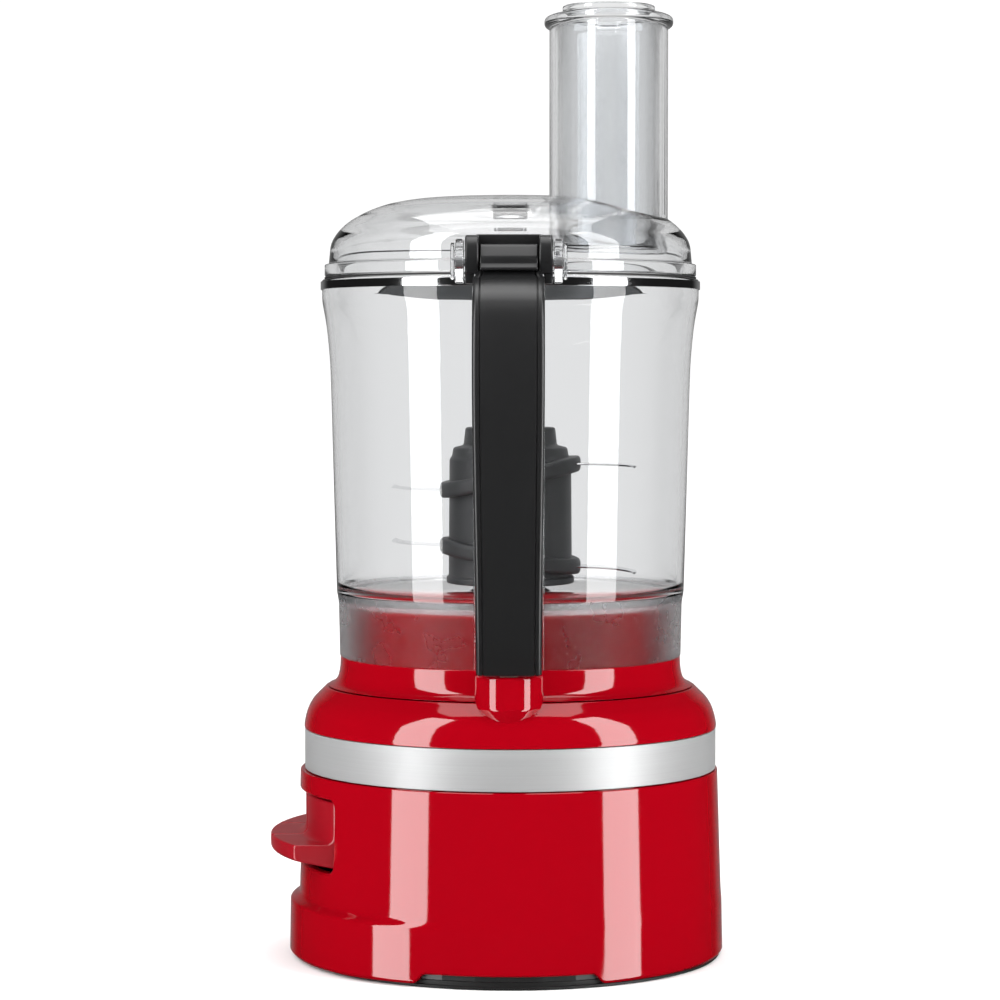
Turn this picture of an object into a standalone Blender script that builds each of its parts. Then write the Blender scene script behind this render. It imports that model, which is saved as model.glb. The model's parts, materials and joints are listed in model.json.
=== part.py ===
"""Compact food processor: a motor base with three control paddles, a clear work bowl with a
handle, a hinged lid with an oval feed tube, and a blade on a gear-driven shaft.

Every length below is in millimetres and becomes metres in the helpers. The working frame has its
origin on the drive axis at table height: +Z up, the paddles at -Y, the bowl's handle at +X and
the feed tube towards +Y. One empty carries that frame, so that the object's box is centred."""

from math import cos, pi, radians, sin

import bmesh
import bpy
from mathutils import Matrix, Vector

# ---------------------------------------------------------------- driving dimensions
MM = 0.001  # one millimetre in Blender's metres
GAP = 0.3  # between pieces that touch
ROUND = 40  # sides of a large turned piece
SMALL = 20  # sides of a small turned piece
WALL = 2.5  # plastic walls

BASE_R = 97.9  # lower housing at the table
BASE_TOP_R = 95.3  # lower housing under the band
BASE_TOP = 85.5
BAND_R = 94.6
BAND_TOP = 104.0
SHOULDER_TOP = 123.5
LEDGE = 137.0  # where the bowl's skirt stands
PEDESTAL_R = 75.2
PEDESTAL_TOP = 161.0
TOWER_R = 10.4  # the pipe that the bowl drops over
TOWER_TOP = 206.0

BOWL_FLOOR = 166.2
BOWL_RIM = 308.5
RIM_R = 86.3
BOWL_PIPE_R = 13.0

HANDLE_REACH = 132.0
HANDLE_HALF = 14.2
HANDLE_FOOT = 136.0
CHANNEL_HALF = 15.4  # the clear channel behind the handle
CHANNEL_FACE = 91.6
ROD_X = 88.0  # interlock rod and the plunger below it

PIN_X = 94.0  # latch pins
PIN_Z = 314.5
HINGE_X = -91.5  # lid hinge, opposite the handle
HINGE_Z = 311.0

LID_FLANGE_R = 85.1
LID_BASE = 312.3
LID_TOP = 345.7

TUBE_Y = 45.0  # feed tube centre, behind the axis
TUBE_X_HALF = 44.0
TUBE_Y_HALF = 27.1
TUBE_TOP = 425.0
TUBE_FOOT = 318.0
PUSHER_TOP = 434.5
SMALL_PUSHER_R = 12.5

PADDLE_REACH = 110.4
PADDLE_ANGLE = 31.0  # half the width of the control panel, in degrees
PIVOT_Y = -77.5
PIVOT_Z = 60.0

MODULE = 1.4  # gear tooth size
GEAR_TEETH = 50
PINION_TEETH = 10
MOTOR_Y = MODULE * (GEAR_TEETH + PINION_TEETH) / 2
GEAR_LOW = 84.0
GEAR_HIGH = 93.0

BLADE_R = 70.0
BLADE_LEVELS = (177.5, 187.0, 212.7, 225.0)
BLADE_TURNS = (90.0, 270.0, 270.0, 90.0)
HUB_FOOT = 169.5
HUB_TOP = 242.0

# The box that holds everything runs from the base's far side to the handle, and from the
# paddles' tip to the base's back. The axis is moved so that this box is centred on the origin.
AXIS_X = (BASE_R - HANDLE_REACH) / 2
AXIS_Y = (PADDLE_REACH - BASE_R) / 2

for old in list(bpy.data.objects):
    bpy.data.objects.remove(old, do_unlink=True)

PARTS = bpy.data.collections.new("food_processor")
CUTTERS = bpy.data.collections.new("cutters")
for made in (PARTS, CUTTERS):
    bpy.context.scene.collection.children.link(made)


# ---------------------------------------------------------------- helpers
def axis_empty(name, place, parent=None):
    """An empty on a joint's axis, at a place in the working frame, under another joint's."""
    empty = bpy.data.objects.new(name, None)
    empty.empty_display_size = 0.02
    PARTS.objects.link(empty)
    PLACES[name] = Vector(place) * MM
    if parent:
        empty.parent = parent
        empty.location = PLACES[name] - PLACES[parent.name]
    return empty


PLACES = {}
FRAME = axis_empty("drive_axis", (0, 0, 0))
FRAME.location = (AXIS_X * MM, AXIS_Y * MM, 0)
LIFT = axis_empty("bowl_lift_axis", (0, 0, LEDGE), FRAME)
SWING = axis_empty("lid_hinge_axis", (HINGE_X, 0, HINGE_Z), LIFT)


def material(name, colour, roughness, metallic=0.0, alpha=1.0):
    made = bpy.data.materials.new(name)
    made.use_nodes = True
    shader = made.node_tree.nodes["Principled BSDF"]
    shader.inputs["Base Color"].default_value = (*colour, 1)
    shader.inputs["Roughness"].default_value = roughness
    shader.inputs["Metallic"].default_value = metallic
    shader.inputs["Alpha"].default_value = alpha
    made.diffuse_color = (*colour, alpha)
    return made


RED = ((0.50, 0.002, 0.008), 0.12)
RED_SATIN = ((0.45, 0.004, 0.012), 0.35)
BLACK = ((0.02, 0.02, 0.02), 0.35)
RUBBER = ((0.03, 0.03, 0.03), 0.8)
STEEL = ((0.62, 0.62, 0.63), 0.25, 1.0)
BRIGHT = ((0.75, 0.75, 0.76), 0.35, 1.0)
COPPER = ((0.72, 0.36, 0.18), 0.35, 1.0)
NYLON = ((0.85, 0.84, 0.78), 0.4)
BOARD = ((0.03, 0.20, 0.08), 0.5)
HUB_GREY = ((0.06, 0.06, 0.06), 0.5)
CLEAR = ((0.92, 0.94, 0.95), 0.05, 0.0, 0.3)


def finish(obj, look=None, parent=None, smooth=True):
    """Places a piece under its joint's empty; without a look it is a cutter."""
    obj.parent = parent or FRAME
    obj.location = obj.location - PLACES[obj.parent.name]
    if look is None:
        CUTTERS.objects.link(obj)
        obj.hide_render = True
        obj.display_type = "WIRE"
        return obj
    PARTS.objects.link(obj)
    obj.data.materials.clear()
    obj.data.materials.append(material(obj.name, *look))
    if smooth:
        obj.data.shade_smooth()
        obj.data.set_sharp_from_angle(angle=radians(35))
    return obj


def turned(name, profile, look=None, parent=None, sides=ROUND, centre=(0, 0), on_axis=False):
    """Turns (radius, height) points about Z. They run down the outer side and up the inner one;
    with on_axis the first and last points lie on the axis and stay open."""
    mesh = bpy.data.meshes.new(name)
    count = len(profile)
    edges = [(i, i + 1) for i in range(count - 1)]
    if not on_axis:
        edges.append((count - 1, 0))
    points = [(r * MM, 0, z * MM) for r, z in profile]
    mesh.from_pydata(points, edges, [])
    obj = bpy.data.objects.new(name, mesh)
    obj.location = (centre[0] * MM, centre[1] * MM, 0)
    screw = obj.modifiers.new("turn", "SCREW")
    screw.steps = sides
    screw.render_steps = sides
    screw.use_merge_vertices = True
    screw.merge_threshold = 0.000001
    screw.use_smooth_shade = False
    return finish(obj, look, parent, smooth=False)


def drum(name, radius, low, high, look=None, parent=None, sides=SMALL, centre=(0, 0)):
    """A plain cylinder standing on Z."""
    profile = [(0, high), (radius, high), (radius, low), (0, low)]
    return turned(name, profile, look, parent, sides, centre, on_axis=True)


def ring(name, outer, inner, low, high, look=None, parent=None, sides=SMALL, centre=(0, 0)):
    profile = [(outer, high), (outer, low), (inner, low), (inner, high)]
    return turned(name, profile, look, parent, sides, centre)


def box(name, low, high, look=None, parent=None, bevel=0.0):
    """A box between two corners, with its edges rounded."""
    low, high = Vector(low), Vector(high)
    build = bmesh.new()
    bmesh.ops.create_cube(build, size=1)
    bmesh.ops.scale(build, vec=(high - low) * MM, verts=build.verts)
    mesh = bpy.data.meshes.new(name)
    build.to_mesh(mesh)
    build.free()
    obj = bpy.data.objects.new(name, mesh)
    obj.location = (low + high) / 2 * MM
    if bevel:
        rounding = obj.modifiers.new("rounding", "BEVEL")
        rounding.width = bevel * MM
        rounding.segments = 2
    return finish(obj, look, parent, smooth=False)


def bar_x(name, radius, half, place, look=None, parent=None, sides=SMALL):
    """A cylinder lying along X, from -half to +half about a place."""
    return lying(name, radius, half, place, Matrix.Rotation(pi / 2, 4, "Y"), look, parent, sides)


def bar_y(name, radius, half, place, look=None, parent=None, sides=SMALL):
    """A cylinder lying along Y."""
    return lying(name, radius, half, place, Matrix.Rotation(pi / 2, 4, "X"), look, parent, sides)


def lying(name, radius, half, place, turn, look, parent, sides):
    build = bmesh.new()
    bmesh.ops.create_cone(
        build, cap_ends=True, segments=sides, radius1=radius * MM, radius2=radius * MM,
        depth=2 * half * MM, matrix=turn,
    )
    mesh = bpy.data.meshes.new(name)
    build.to_mesh(mesh)
    build.free()
    obj = bpy.data.objects.new(name, mesh)
    obj.location = Vector(place) * MM
    return finish(obj, look, parent)


def plate(name, outline, low, high, look=None, parent=None, turn=None):
    """A flat outline of (x, y) points, extruded from low to high along its own Z, then turned."""
    curve = bpy.data.curves.new(name, "CURVE")
    curve.dimensions = "2D"
    curve.fill_mode = "BOTH"
    curve.extrude = (high - low) / 2 * MM
    spline = curve.splines.new("POLY")
    spline.points.add(len(outline) - 1)
    for point, (x, y) in zip(spline.points, outline):
        point.co = (x * MM, y * MM, 0, 1)
    spline.use_cyclic_u = True
    sketch = bpy.data.objects.new(name + "_sketch", curve)
    turn = turn or Matrix.Identity(4)
    sketch.matrix_world = turn @ Matrix.Translation((0, 0, (low + high) / 2 * MM))
    obj = meshed(name, sketch)
    return finish(obj, look, parent, smooth=False)


def wire(name, points, radius, look=None, parent=None, cyclic=False, resolution=2):
    """A round wire through points."""
    curve = bpy.data.curves.new(name, "CURVE")
    curve.dimensions = "3D"
    curve.bevel_depth = radius * MM
    curve.bevel_resolution = resolution
    curve.use_fill_caps = True
    spline = curve.splines.new("POLY")
    spline.points.add(len(points) - 1)
    for point, place in zip(spline.points, points):
        point.co = (*(Vector(place) * MM), 1)
    spline.use_cyclic_u = cyclic
    return finish(meshed(name, bpy.data.objects.new(name + "_sketch", curve)), look, parent)


def meshed(name, sketch):
    """Makes a curve object into a mesh object with welded caps, in the same place."""
    PARTS.objects.link(sketch)
    bpy.context.view_layer.update()
    shape = bpy.data.meshes.new_from_object(
        sketch.evaluated_get(bpy.context.evaluated_depsgraph_get())
    )
    build = bmesh.new()
    build.from_mesh(shape)
    bmesh.ops.remove_doubles(build, verts=build.verts, dist=0.000001)
    bmesh.ops.recalc_face_normals(build, faces=build.faces)
    build.to_mesh(shape)
    build.free()
    shape.name = name
    obj = bpy.data.objects.new(name, shape)
    obj.matrix_world = sketch.matrix_world
    bpy.data.objects.remove(sketch, do_unlink=True)
    return obj


def boolean(target, others, operation):
    for other in others:
        step = target.modifiers.new(other.name, "BOOLEAN")
        step.operation = operation
        step.solver = "EXACT"
        step.object = other
    return target


def cut(target, *others):
    return boolean(target, others, "DIFFERENCE")


def join(target, *others):
    return boolean(target, others, "UNION")


def ellipse(x_half, y_half, y_centre=0.0, sides=28):
    turns = [2 * pi * i / sides for i in range(sides)]
    return [(x_half * cos(t), y_centre + y_half * sin(t)) for t in turns]


def arc(centre, radius, start, end, steps):
    """Points on an arc, in degrees, ends included."""
    turns = [radians(start + (end - start) * i / steps) for i in range(steps + 1)]
    return [(centre[0] + radius * cos(t), centre[1] + radius * sin(t)) for t in turns]


def on_circle(radius, angle):
    return radius * cos(radians(angle)), radius * sin(radians(angle))


# A side view is drawn as (x, z) and stands up from XY into XZ, its thickness running along -Y.
STAND = Matrix.Rotation(pi / 2, 4, "X")
# A section through the paddles is drawn as (y, z), its thickness running along X.
SECTION = Matrix.Rotation(pi / 2, 4, "Z") @ Matrix.Rotation(pi / 2, 4, "X")


# ---------------------------------------------------------------- base casings
SCREW_ANGLES = (25.0, 155.0, 205.0, 335.0)
SCREW_RING = 86.0
FOOT_ANGLES = {"front_left": 235, "front_right": 305, "rear_right": 55, "rear_left": 125}
APRON = 3.8  # how far the low apron stands out in front
APRON_FADE = 0.35  # sine of the angle where it has faded out
PANEL_LOW = 41.0
PANEL_HIGH = 70.5


def housing_section(height, radius, apron=0.0, lip=0.0):
    """One level of the lower housing: a circle that bulges in front by an apron, which fades out
    towards the sides, and by a lip over the paddles."""
    points = []
    for i in range(ROUND):
        turn = 2 * pi * i / ROUND
        front = max(0.0, -sin(turn) - APRON_FADE) / (1 - APRON_FADE)
        reach = radius + apron * min(1.0, 1.6 * front) + lip * max(0.0, -sin(turn)) ** 2
        points.append((reach * cos(turn) * MM, reach * sin(turn) * MM, height * MM))
    return points


def loft(name, sections, look=None):
    """Joins sections of equal count into a closed tube: down the outer side, up the inner."""
    build = bmesh.new()
    rings = [[build.verts.new(point) for point in section] for section in sections]
    for upper, lower in zip(rings, rings[1:] + rings[:1]):
        for i in range(len(upper)):
            k = (i + 1) % len(upper)
            build.faces.new((upper[i], lower[i], lower[k], upper[k]))
    mesh = bpy.data.meshes.new(name)
    build.to_mesh(mesh)
    build.free()
    return finish(bpy.data.objects.new(name, mesh), look, smooth=False)


def lower_housing():
    """Flared shell with an apron in front, a window for the paddles and two finger notches."""
    shell = loft("lower_housing", [
        housing_section(BASE_TOP, BASE_TOP_R, lip=1.2),
        housing_section(PANEL_HIGH + 1, 95.7, lip=1.2),
        housing_section(PANEL_HIGH - 1, 95.7),
        housing_section(27.0, 97.1),
        housing_section(22.0, 97.3, apron=APRON),
        housing_section(1.0, BASE_R, apron=APRON),
        housing_section(1.0, BASE_R - 3.2),
        housing_section(BASE_TOP, BASE_TOP_R - WALL),
    ], RED)
    for i, angle in enumerate(SCREW_ANGLES):
        place = on_circle(SCREW_RING, angle)
        post = drum(f"screw_post_{i}", 5.0, 6.2, 78, centre=place, sides=12)
        web = box(f"post_web_{i}", (SCREW_RING, -1.5, 8), (94.0, 1.5, 76))
        turn = Matrix.Rotation(radians(angle), 3, "Z")
        web.location = turn @ web.location
        web.rotation_euler.z = radians(angle)
        join(shell, post, web)
        cut(shell, drum(f"screw_pilot_{i}", 2.0, 5, 24, centre=place, sides=12))
    window = plate("panel_window", panel_outline(0.8, 70), PANEL_LOW, PANEL_HIGH)
    gland_hole = bar_y("gland_hole", 6.3, 15, (0, 92, 16), sides=SMALL)
    cut(shell, window, gland_hole)
    for side in (1, -1):
        notch = plate(f"finger_notch_{side}", [
            (-42, -1), (42, -1), (42, 1.2), (37, 5.5), (-37, 5.5), (-42, 1.2),
        ], side * 97 - 12, side * 97 + 12, turn=SECTION)
        cut(shell, notch)


def panel_outline(margin, inner):
    """Plan of the control panel: a sector in front, widened by a margin on both sides."""
    spread = radians(PADDLE_ANGLE) + margin / BASE_R
    outer = BASE_R + 20
    turns = [-pi / 2 + spread * (i / 4 - 1) for i in range(9)]
    far = [(outer * cos(t), outer * sin(t)) for t in turns]
    near = [(inner * cos(t), inner * sin(t)) for t in reversed(turns)]
    return far + near


def bottom_plate():
    """Closes the base from below, with vents, sockets for the feet and four screw holes."""
    cover = turned("bottom_plate", [
        (0, 8.0), (22, 8.0), (22, 5.8), (94.2, 5.8), (94.2, 3.3), (0, 3.3),
    ], BLACK, on_axis=True)
    for i, angle in enumerate(SCREW_ANGLES):
        cut(cover, drum(f"plate_hole_{i}", 2.2, 0, 9, centre=on_circle(SCREW_RING, angle), sides=12))
    for i in range(5):
        x = -24 + 12 * i
        cut(cover, box(f"vent_{i}", (x - 2.5, 28, 0), (x + 2.5, 68, 9)))


def feet_and_screws():
    for place, angle in FOOT_ANGLES.items():
        centre = on_circle(78, angle)
        turned(f"foot_{place}", [
            (0, 3.0), (9, 3.0), (9, 1.0), (8, 0), (0, 0),
        ], RUBBER, centre=centre, sides=16, on_axis=True)
    for i, angle in enumerate(SCREW_ANGLES):
        turned(f"housing_screw_{i + 1}", [
            (0, 20), (1.6, 18.5), (1.6, 3.0), (3.6, 3.0), (3.2, 1.4), (0, 1.4),
        ], STEEL, centre=on_circle(SCREW_RING, angle), sides=10, on_axis=True)


def trim_band():
    ring("trim_band", BAND_R, 92.7, BASE_TOP + GAP, BAND_TOP - GAP, BRIGHT, sides=ROUND)


def upper_housing():
    """Convex shoulder with a spigot behind the band, and the boss that holds the interlock."""
    shoulder = turned("upper_housing", [
        (84.7, SHOULDER_TOP), (87.0, 121.0), (91.6, 116.4), (94.4, 111.0),
        (94.9, BAND_TOP), (92.3, BAND_TOP), (92.3, 82.0), (89.8, 82.0), (89.8, 108.0),
        (84.0, 118.0), (72.0, 121.0), (72.0, SHOULDER_TOP),
    ], RED)
    boss = plate("interlock_boss", boss_outline(0), BAND_TOP + GAP, HANDLE_FOOT - GAP)
    room = box("boss_room", (81, -9.5, 96), (89.0, 9.5, 131.0))
    mouth = box("boss_mouth", (ROD_X - 3.6, -4.6, 112.2), (ROD_X + 3.6, 4.6, 140))
    join(shoulder, boss)
    cut(shoulder, room, mouth)


def boss_outline(margin):
    """Plan of the boss: a flat face with two chamfered corners."""
    half = 15.0 + margin
    face = 94.7 + margin
    return [(78 - margin, -half), (face - 5, -half), (face, -half + 4.5),
            (face, half - 4.5), (face - 5, half), (78 - margin, half)]


def neck_collar():
    """Flared collar, the bowl's seat, the pedestal inside its skirt and the tower."""
    collar = turned("neck_collar", [
        (TOWER_R, TOWER_TOP), (TOWER_R, PEDESTAL_TOP), (73.5, PEDESTAL_TOP),
        (PEDESTAL_R, PEDESTAL_TOP - 1.5), (PEDESTAL_R, LEDGE), (78.2, LEDGE), (78.6, 130.4),
        (79.5, 126.6), (84.2, SHOULDER_TOP + GAP), (73.0, SHOULDER_TOP + GAP),
        (72.7, PEDESTAL_TOP - 3), (7.6, PEDESTAL_TOP - 3), (7.6, TOWER_TOP),
    ], RED)
    notch = plate("boss_notch", boss_outline(GAP), 120, HANDLE_FOOT + 3)
    cut(collar, notch)


# ---------------------------------------------------------------- motor and drive
def motor():
    """Frame, stator, brushes and the rotor with its fan, commutator and pinion."""
    middle = (0, MOTOR_Y)
    frame = ring("motor_frame", 34.0, 31.3, 16.0, 78.0, STEEL, sides=ROUND, centre=middle)
    deck = plate("frame_deck", [
        (-40, -22), (40, -22), (52, 30), (52, 60), (38, 76), (-38, 76), (-52, 60), (-52, 30),
    ], 74.0, 79.0)
    bores = [
        drum("frame_drive_bore", 11.3, 70, 82, sides=SMALL),
        drum("frame_motor_bore", 6.0, 70, 82, centre=middle, sides=SMALL),
    ]
    join(frame, deck)
    cut(frame, *bores)
    ring("motor_stator", 31.0, 18.0, 26.0, 56.0, BRIGHT, sides=SMALL, centre=middle)
    for name, side in (("left", -1), ("right", 1)):
        x = side * 15.5
        box(f"brush_holder_{name}", (min(x, x + side * 14), MOTOR_Y - 4, 60),
            (max(x, x + side * 14), MOTOR_Y + 4, 68), BRIGHT)
    spin = axis_empty("motor_spin_axis", (0, MOTOR_Y, 40), FRAME)
    drum("motor_shaft", 3.0, 9.0, 95.0, STEEL, spin, centre=middle, sides=16)
    turned("armature", [
        (14.0, 70.0), (14.0, 59.0), (17.2, 56.0), (17.2, 26.0), (3.0 + GAP, 26.0),
        (3.0 + GAP, 70.0),
    ], COPPER, spin, sides=SMALL, centre=middle)
    fan = ring("cooling_fan", 9.0, 3.0 + GAP, 17.0, 22.5, NYLON, spin, centre=middle)
    for i in range(6):
        vane = box(f"fan_vane_{i}", (-1.0, 5.0, 17.0), (1.0, 27.0, 22.5))
        vane.location = Vector((0, MOTOR_Y, 0)) * MM + (
            Matrix.Rotation(pi / 3 * i, 3, "Z") @ (vane.location)
        )
        vane.rotation_euler.z = pi / 3 * i
        join(fan, vane)
    pinion = plate("motor_pinion", gear_outline(PINION_TEETH, 0.5), GEAR_LOW, GEAR_HIGH, STEEL, spin,
                   turn=Matrix.Translation((0, MOTOR_Y * MM, 0)))
    cut(pinion, drum("pinion_bore", 3.0 + GAP, 80, 100, centre=middle, sides=16))


def gear_outline(teeth, phase):
    """Straight-flanked teeth. Phase 0 puts a tooth on +Y, phase 0.5 puts a gap on -Y's side."""
    pitch = MODULE * teeth / 2
    tip = pitch + 0.85 * MODULE
    root = pitch - 1.15 * MODULE
    points = []
    for i in range(teeth):
        middle = pi / 2 + 2 * pi * (i + phase) / teeth
        half = pi / teeth
        for radius, share in ((root, -0.66), (tip, -0.26), (tip, 0.26), (root, 0.66)):
            turn = middle + share * half
            points.append((radius * cos(turn), radius * sin(turn)))
    return points


def drive():
    """Shaft, large gear and coupling, with the bearings and the seal that hold them."""
    spin = axis_empty("drive_spin_axis", (0, 0, 100), FRAME)
    drum("drive_shaft", 4.0, 62.0, 226.0, STEEL, spin, sides=16)
    gear = plate("drive_gear", gear_outline(GEAR_TEETH, 0.0), GEAR_LOW, GEAR_HIGH, NYLON, spin)
    cut(gear, drum("gear_bore", 4.0 + GAP, 80, 100, sides=16))
    coupling = plate("drive_coupling", hexagon(9.4), 208.0, 234.0, NYLON, spin)
    cut(coupling, drum("coupling_bore", 4.0 + GAP, 200, 227, sides=16))
    ring("lower_bearing", 11.0, 4.1, 74.0, 79.0, STEEL)
    ring("upper_bearing", 7.3, 4.1, 190.0, 202.0, STEEL)
    ring("shaft_seal", 7.3, 4.2, 202.5, 205.5, RUBBER)


def hexagon(radius):
    return [on_circle(radius, 60 * i) for i in range(6)]


# ---------------------------------------------------------------- controls
PADDLES = ("paddle_low", "paddle_high", "paddle_pulse")
PADDLE_HALF = 46.5
PADDLE_ARC = 76.0  # radius of the ledge's outer edge


def paddle_plan(low_x, high_x):
    """Plan of one key's ledge: a slice of the crescent between two X values."""
    centre_y = PADDLE_ARC - PADDLE_REACH
    steps = 6
    xs = [low_x + (high_x - low_x) * i / steps for i in range(steps + 1)]
    outer = [(x, centre_y - (PADDLE_ARC ** 2 - x ** 2) ** 0.5) for x in xs]
    inner = [(x, -(92.5 ** 2 - x ** 2) ** 0.5) for x in reversed(xs)]
    return outer + inner


def paddles():
    """Three keys side by side on one pivot rod: a ledge, an upright plate and a lug each."""
    width = 2 * PADDLE_HALF / 3
    for i, name in enumerate(PADDLES):
        low_x = -PADDLE_HALF + width * i + GAP
        high_x = low_x + width - 2 * GAP
        pivot = axis_empty(name + "_axis", (0, PIVOT_Y, PIVOT_Z), FRAME)
        key = plate(name, paddle_plan(low_x, high_x), 43.0, 52.0, RED_SATIN, pivot)
        upright = plate(name + "_upright", upright_plan(low_x, high_x), 44.0, 69.5)
        middle = (low_x + high_x) / 2
        reach = (93.4 ** 2 - (abs(middle) + 4) ** 2) ** 0.5
        lug = box(name + "_lug", (middle - 4, -reach, PIVOT_Z - 4),
                  (middle + 4, PIVOT_Y + 3.2, PIVOT_Z + 4))
        bore = bar_x(name + "_bore", 2.15, 20, (middle, PIVOT_Y, PIVOT_Z), sides=16)
        join(key, upright, lug)
        cut(key, bore)
        spring_and_switch(name, middle)
    bar_x("paddle_pivot_rod", 2.0, 40.5, (0, PIVOT_Y, PIVOT_Z), STEEL, sides=16)
    carrier = box("paddle_carrier", (-44, -73, 40), (44, -70, 72), BLACK)
    for i in range(4):
        x = -PADDLE_HALF + 8.0 + (2 * PADDLE_HALF - 16.0) * i / 3
        arm = box(f"carrier_arm_{i}", (x - 2, PIVOT_Y - 3.3, 56), (x + 2, -71, 64))
        join(carrier, arm)
    cut(carrier, bar_x("carrier_bore", 2.1, 50, (0, PIVOT_Y, PIVOT_Z), sides=16))


def upright_plan(low_x, high_x):
    """Plan of one key's upright: a strip of an arc that follows the housing."""
    steps = 4
    xs = [low_x + (high_x - low_x) * i / steps for i in range(steps + 1)]
    outer = [(x, -(94.2 ** 2 - x ** 2) ** 0.5) for x in xs]
    inner = [(x, -(90.6 ** 2 - x ** 2) ** 0.5) for x in reversed(xs)]
    return outer + inner


def spring_and_switch(name, middle):
    """A small return coil and a microswitch behind each key."""
    kind = name.split("_")[1]
    turns, per_turn = 3, 8
    start = -((89.2 ** 2 - (abs(middle) + 3) ** 2) ** 0.5)
    end = -73.9
    coil = []
    for i in range(turns * per_turn + 1):
        turn = 2 * pi * i / per_turn
        y = start + (end - start) * i / (turns * per_turn)
        coil.append((middle + 2.6 * cos(turn), y, 48.0 + 2.6 * sin(turn)))
    wire(f"{name}_spring", coil, 0.4, STEEL, resolution=0)
    box(f"switch_{kind}", (middle - 6, -69.5, 44), (middle + 6, -60, 56), BLACK, bevel=0.6)


def cord_gland():
    """Bush where the cord leaves the base, flush with the housing's back."""
    bush = bar_y("cord_gland", 6.0, 5.5, (0, BASE_R - 6.3, 16), BLACK)
    flange = bar_y("gland_flange", 8.5, 1.2, (0, BASE_R - 10.4, 16))
    join(bush, flange)
    cut(bush, bar_y("gland_bore", 3.8, 12, (0, BASE_R - 7, 16), sides=16))


def control_board():
    box("control_board", (-42, -58.5, 30), (42, -56.9, 72), BOARD)


def interlock():
    """Microswitch in the boss, with the sprung plunger that the handle's rod presses."""
    box("interlock_switch", (81.3, -9.2, 98), (88.7, 9.2, 112), BLACK)
    lift = axis_empty("interlock_plunger_axis", (ROD_X, 0, 115), FRAME)
    plunger = turned("interlock_plunger", [
        (0, 133.8), (2.2, 133.8), (2.2, 129.5), (3.0, 129.5), (3.0, 128.0), (1.2, 128.0),
        (1.2, 112.6), (0, 112.6),
    ], NYLON, lift, sides=16, centre=(ROD_X, 0), on_axis=True)
    coil = []
    turns, per_turn = 5, 8
    for i in range(turns * per_turn + 1):
        turn = 2 * pi * i / per_turn
        rise = 14.4 * i / (turns * per_turn)
        coil.append((ROD_X + 2.3 * cos(turn), 2.3 * sin(turn), 112.9 + rise))
    wire("interlock_spring", coil, 0.35, STEEL, resolution=0)
    return plunger


# ---------------------------------------------------------------- bowl
def bowl():
    """Tapered clear bowl with a skirt, a flared rim, a pipe in the middle and a hinge lug."""
    shell = turned("bowl", [
        (RIM_R, BOWL_RIM), (RIM_R, 300.0), (84.2, 288.5), (82.6, 272.0), (79.7, 163.0),
        (78.4, LEDGE + GAP), (75.9, LEDGE + GAP), (77.0, 163.5), (11.0, 163.5),
        (11.0, 206.8), (BOWL_PIPE_R, 206.8), (BOWL_PIPE_R + 0.6, 169.0), (18.0, BOWL_FLOOR),
        (74.0, BOWL_FLOOR), (77.3, 169.5), (80.1, 272.0), (81.7, 288.5), (83.4, 300.0),
        (83.4, BOWL_RIM),
    ], CLEAR, LIFT)
    lug = plate("hinge_lug", [
        (HINGE_X - 5.0, HINGE_Z), *arc((HINGE_X, HINGE_Z), 5.0, 150, 30, 4),
        (HINGE_X + 5.0, 306.0), (-82.0, 300.0), (-82.0, 292.0), (-85.0, 290.0),
        (HINGE_X - 5.0, 300.0),
    ], -8, 8, turn=STAND)
    bore = bar_y("bowl_hinge_bore", 2.2, 12, (HINGE_X, 0, HINGE_Z), sides=16)
    join(shell, lug)
    cut(shell, bore)
    bar_y("lid_hinge_pin", 2.0, 16, (HINGE_X, 0, HINGE_Z), STEEL, LIFT, sides=16)


def rod_channel():
    """Clear rib up the bowl's side behind the handle, with a slot for the interlock rod."""
    rib = plate("rod_channel", [
        (CHANNEL_FACE, HANDLE_FOOT + 1.5), (CHANNEL_FACE, 304.5), (70, 304.5),
        (70, HANDLE_FOOT + 1.5),
    ], -CHANNEL_HALF, CHANNEL_HALF, CLEAR, LIFT, STAND)
    scoop = turned("channel_scoop", [
        (0, 320), (RIM_R + GAP, 320), (RIM_R + GAP, 299.9), (84.5, 288.5), (82.9, 272.0),
        (80.0, 163.0), (78.7, 130), (0, 130),
    ], parent=LIFT, on_axis=True)
    slot = box("channel_slot", (ROD_X - 3.0, -4.5, 120), (ROD_X + 1.6, 4.5, 320), parent=LIFT)
    cut(rib, scoop, slot)


def handle_grip():
    """Black handle standing off the bowl: side outline bent outward, foot on the boss."""
    inner = CHANNEL_FACE + GAP
    outline = [
        (inner, 305.0), (inner + 1.2, 312.4), (98.0, 312.4), (101.2, 309.0), (104.0, 305.5),
        (113.0, 302.8), (121.5, 298.0), (127.5, 290.0), (131.0, 279.0), (HANDLE_REACH, 266.0),
        (130.4, 246.0), (125.0, 218.0), (116.5, 187.0), (105.5, 157.0), (95.5, HANDLE_FOOT),
        (inner, HANDLE_FOOT), (inner, 154.0), (97.0, 172.0), (105.0, 200.0),
        (111.0, 228.0), (113.6, 250.0), (113.8, 268.0), (110.0, 279.0), (102.5, 284.5),
        (inner, 286.5),
    ]
    grip = plate("handle_grip", outline, -HANDLE_HALF, HANDLE_HALF, BLACK, LIFT, STAND)
    rounding = grip.modifiers.new("rounding", "BEVEL")
    rounding.width = 2.4 * MM
    rounding.segments = 2
    rounding.limit_method = "ANGLE"
    rounding.angle_limit = radians(50)


def interlock_rod():
    """Flat push rod in the channel, from under the latch down to the plunger."""
    lift = axis_empty("interlock_rod_axis", (ROD_X, 0, 220), LIFT)
    box("interlock_rod", (ROD_X - 1.2, -4.0, 134.2), (ROD_X + 1.2, 4.0, 304.0), NYLON, lift)


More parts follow.
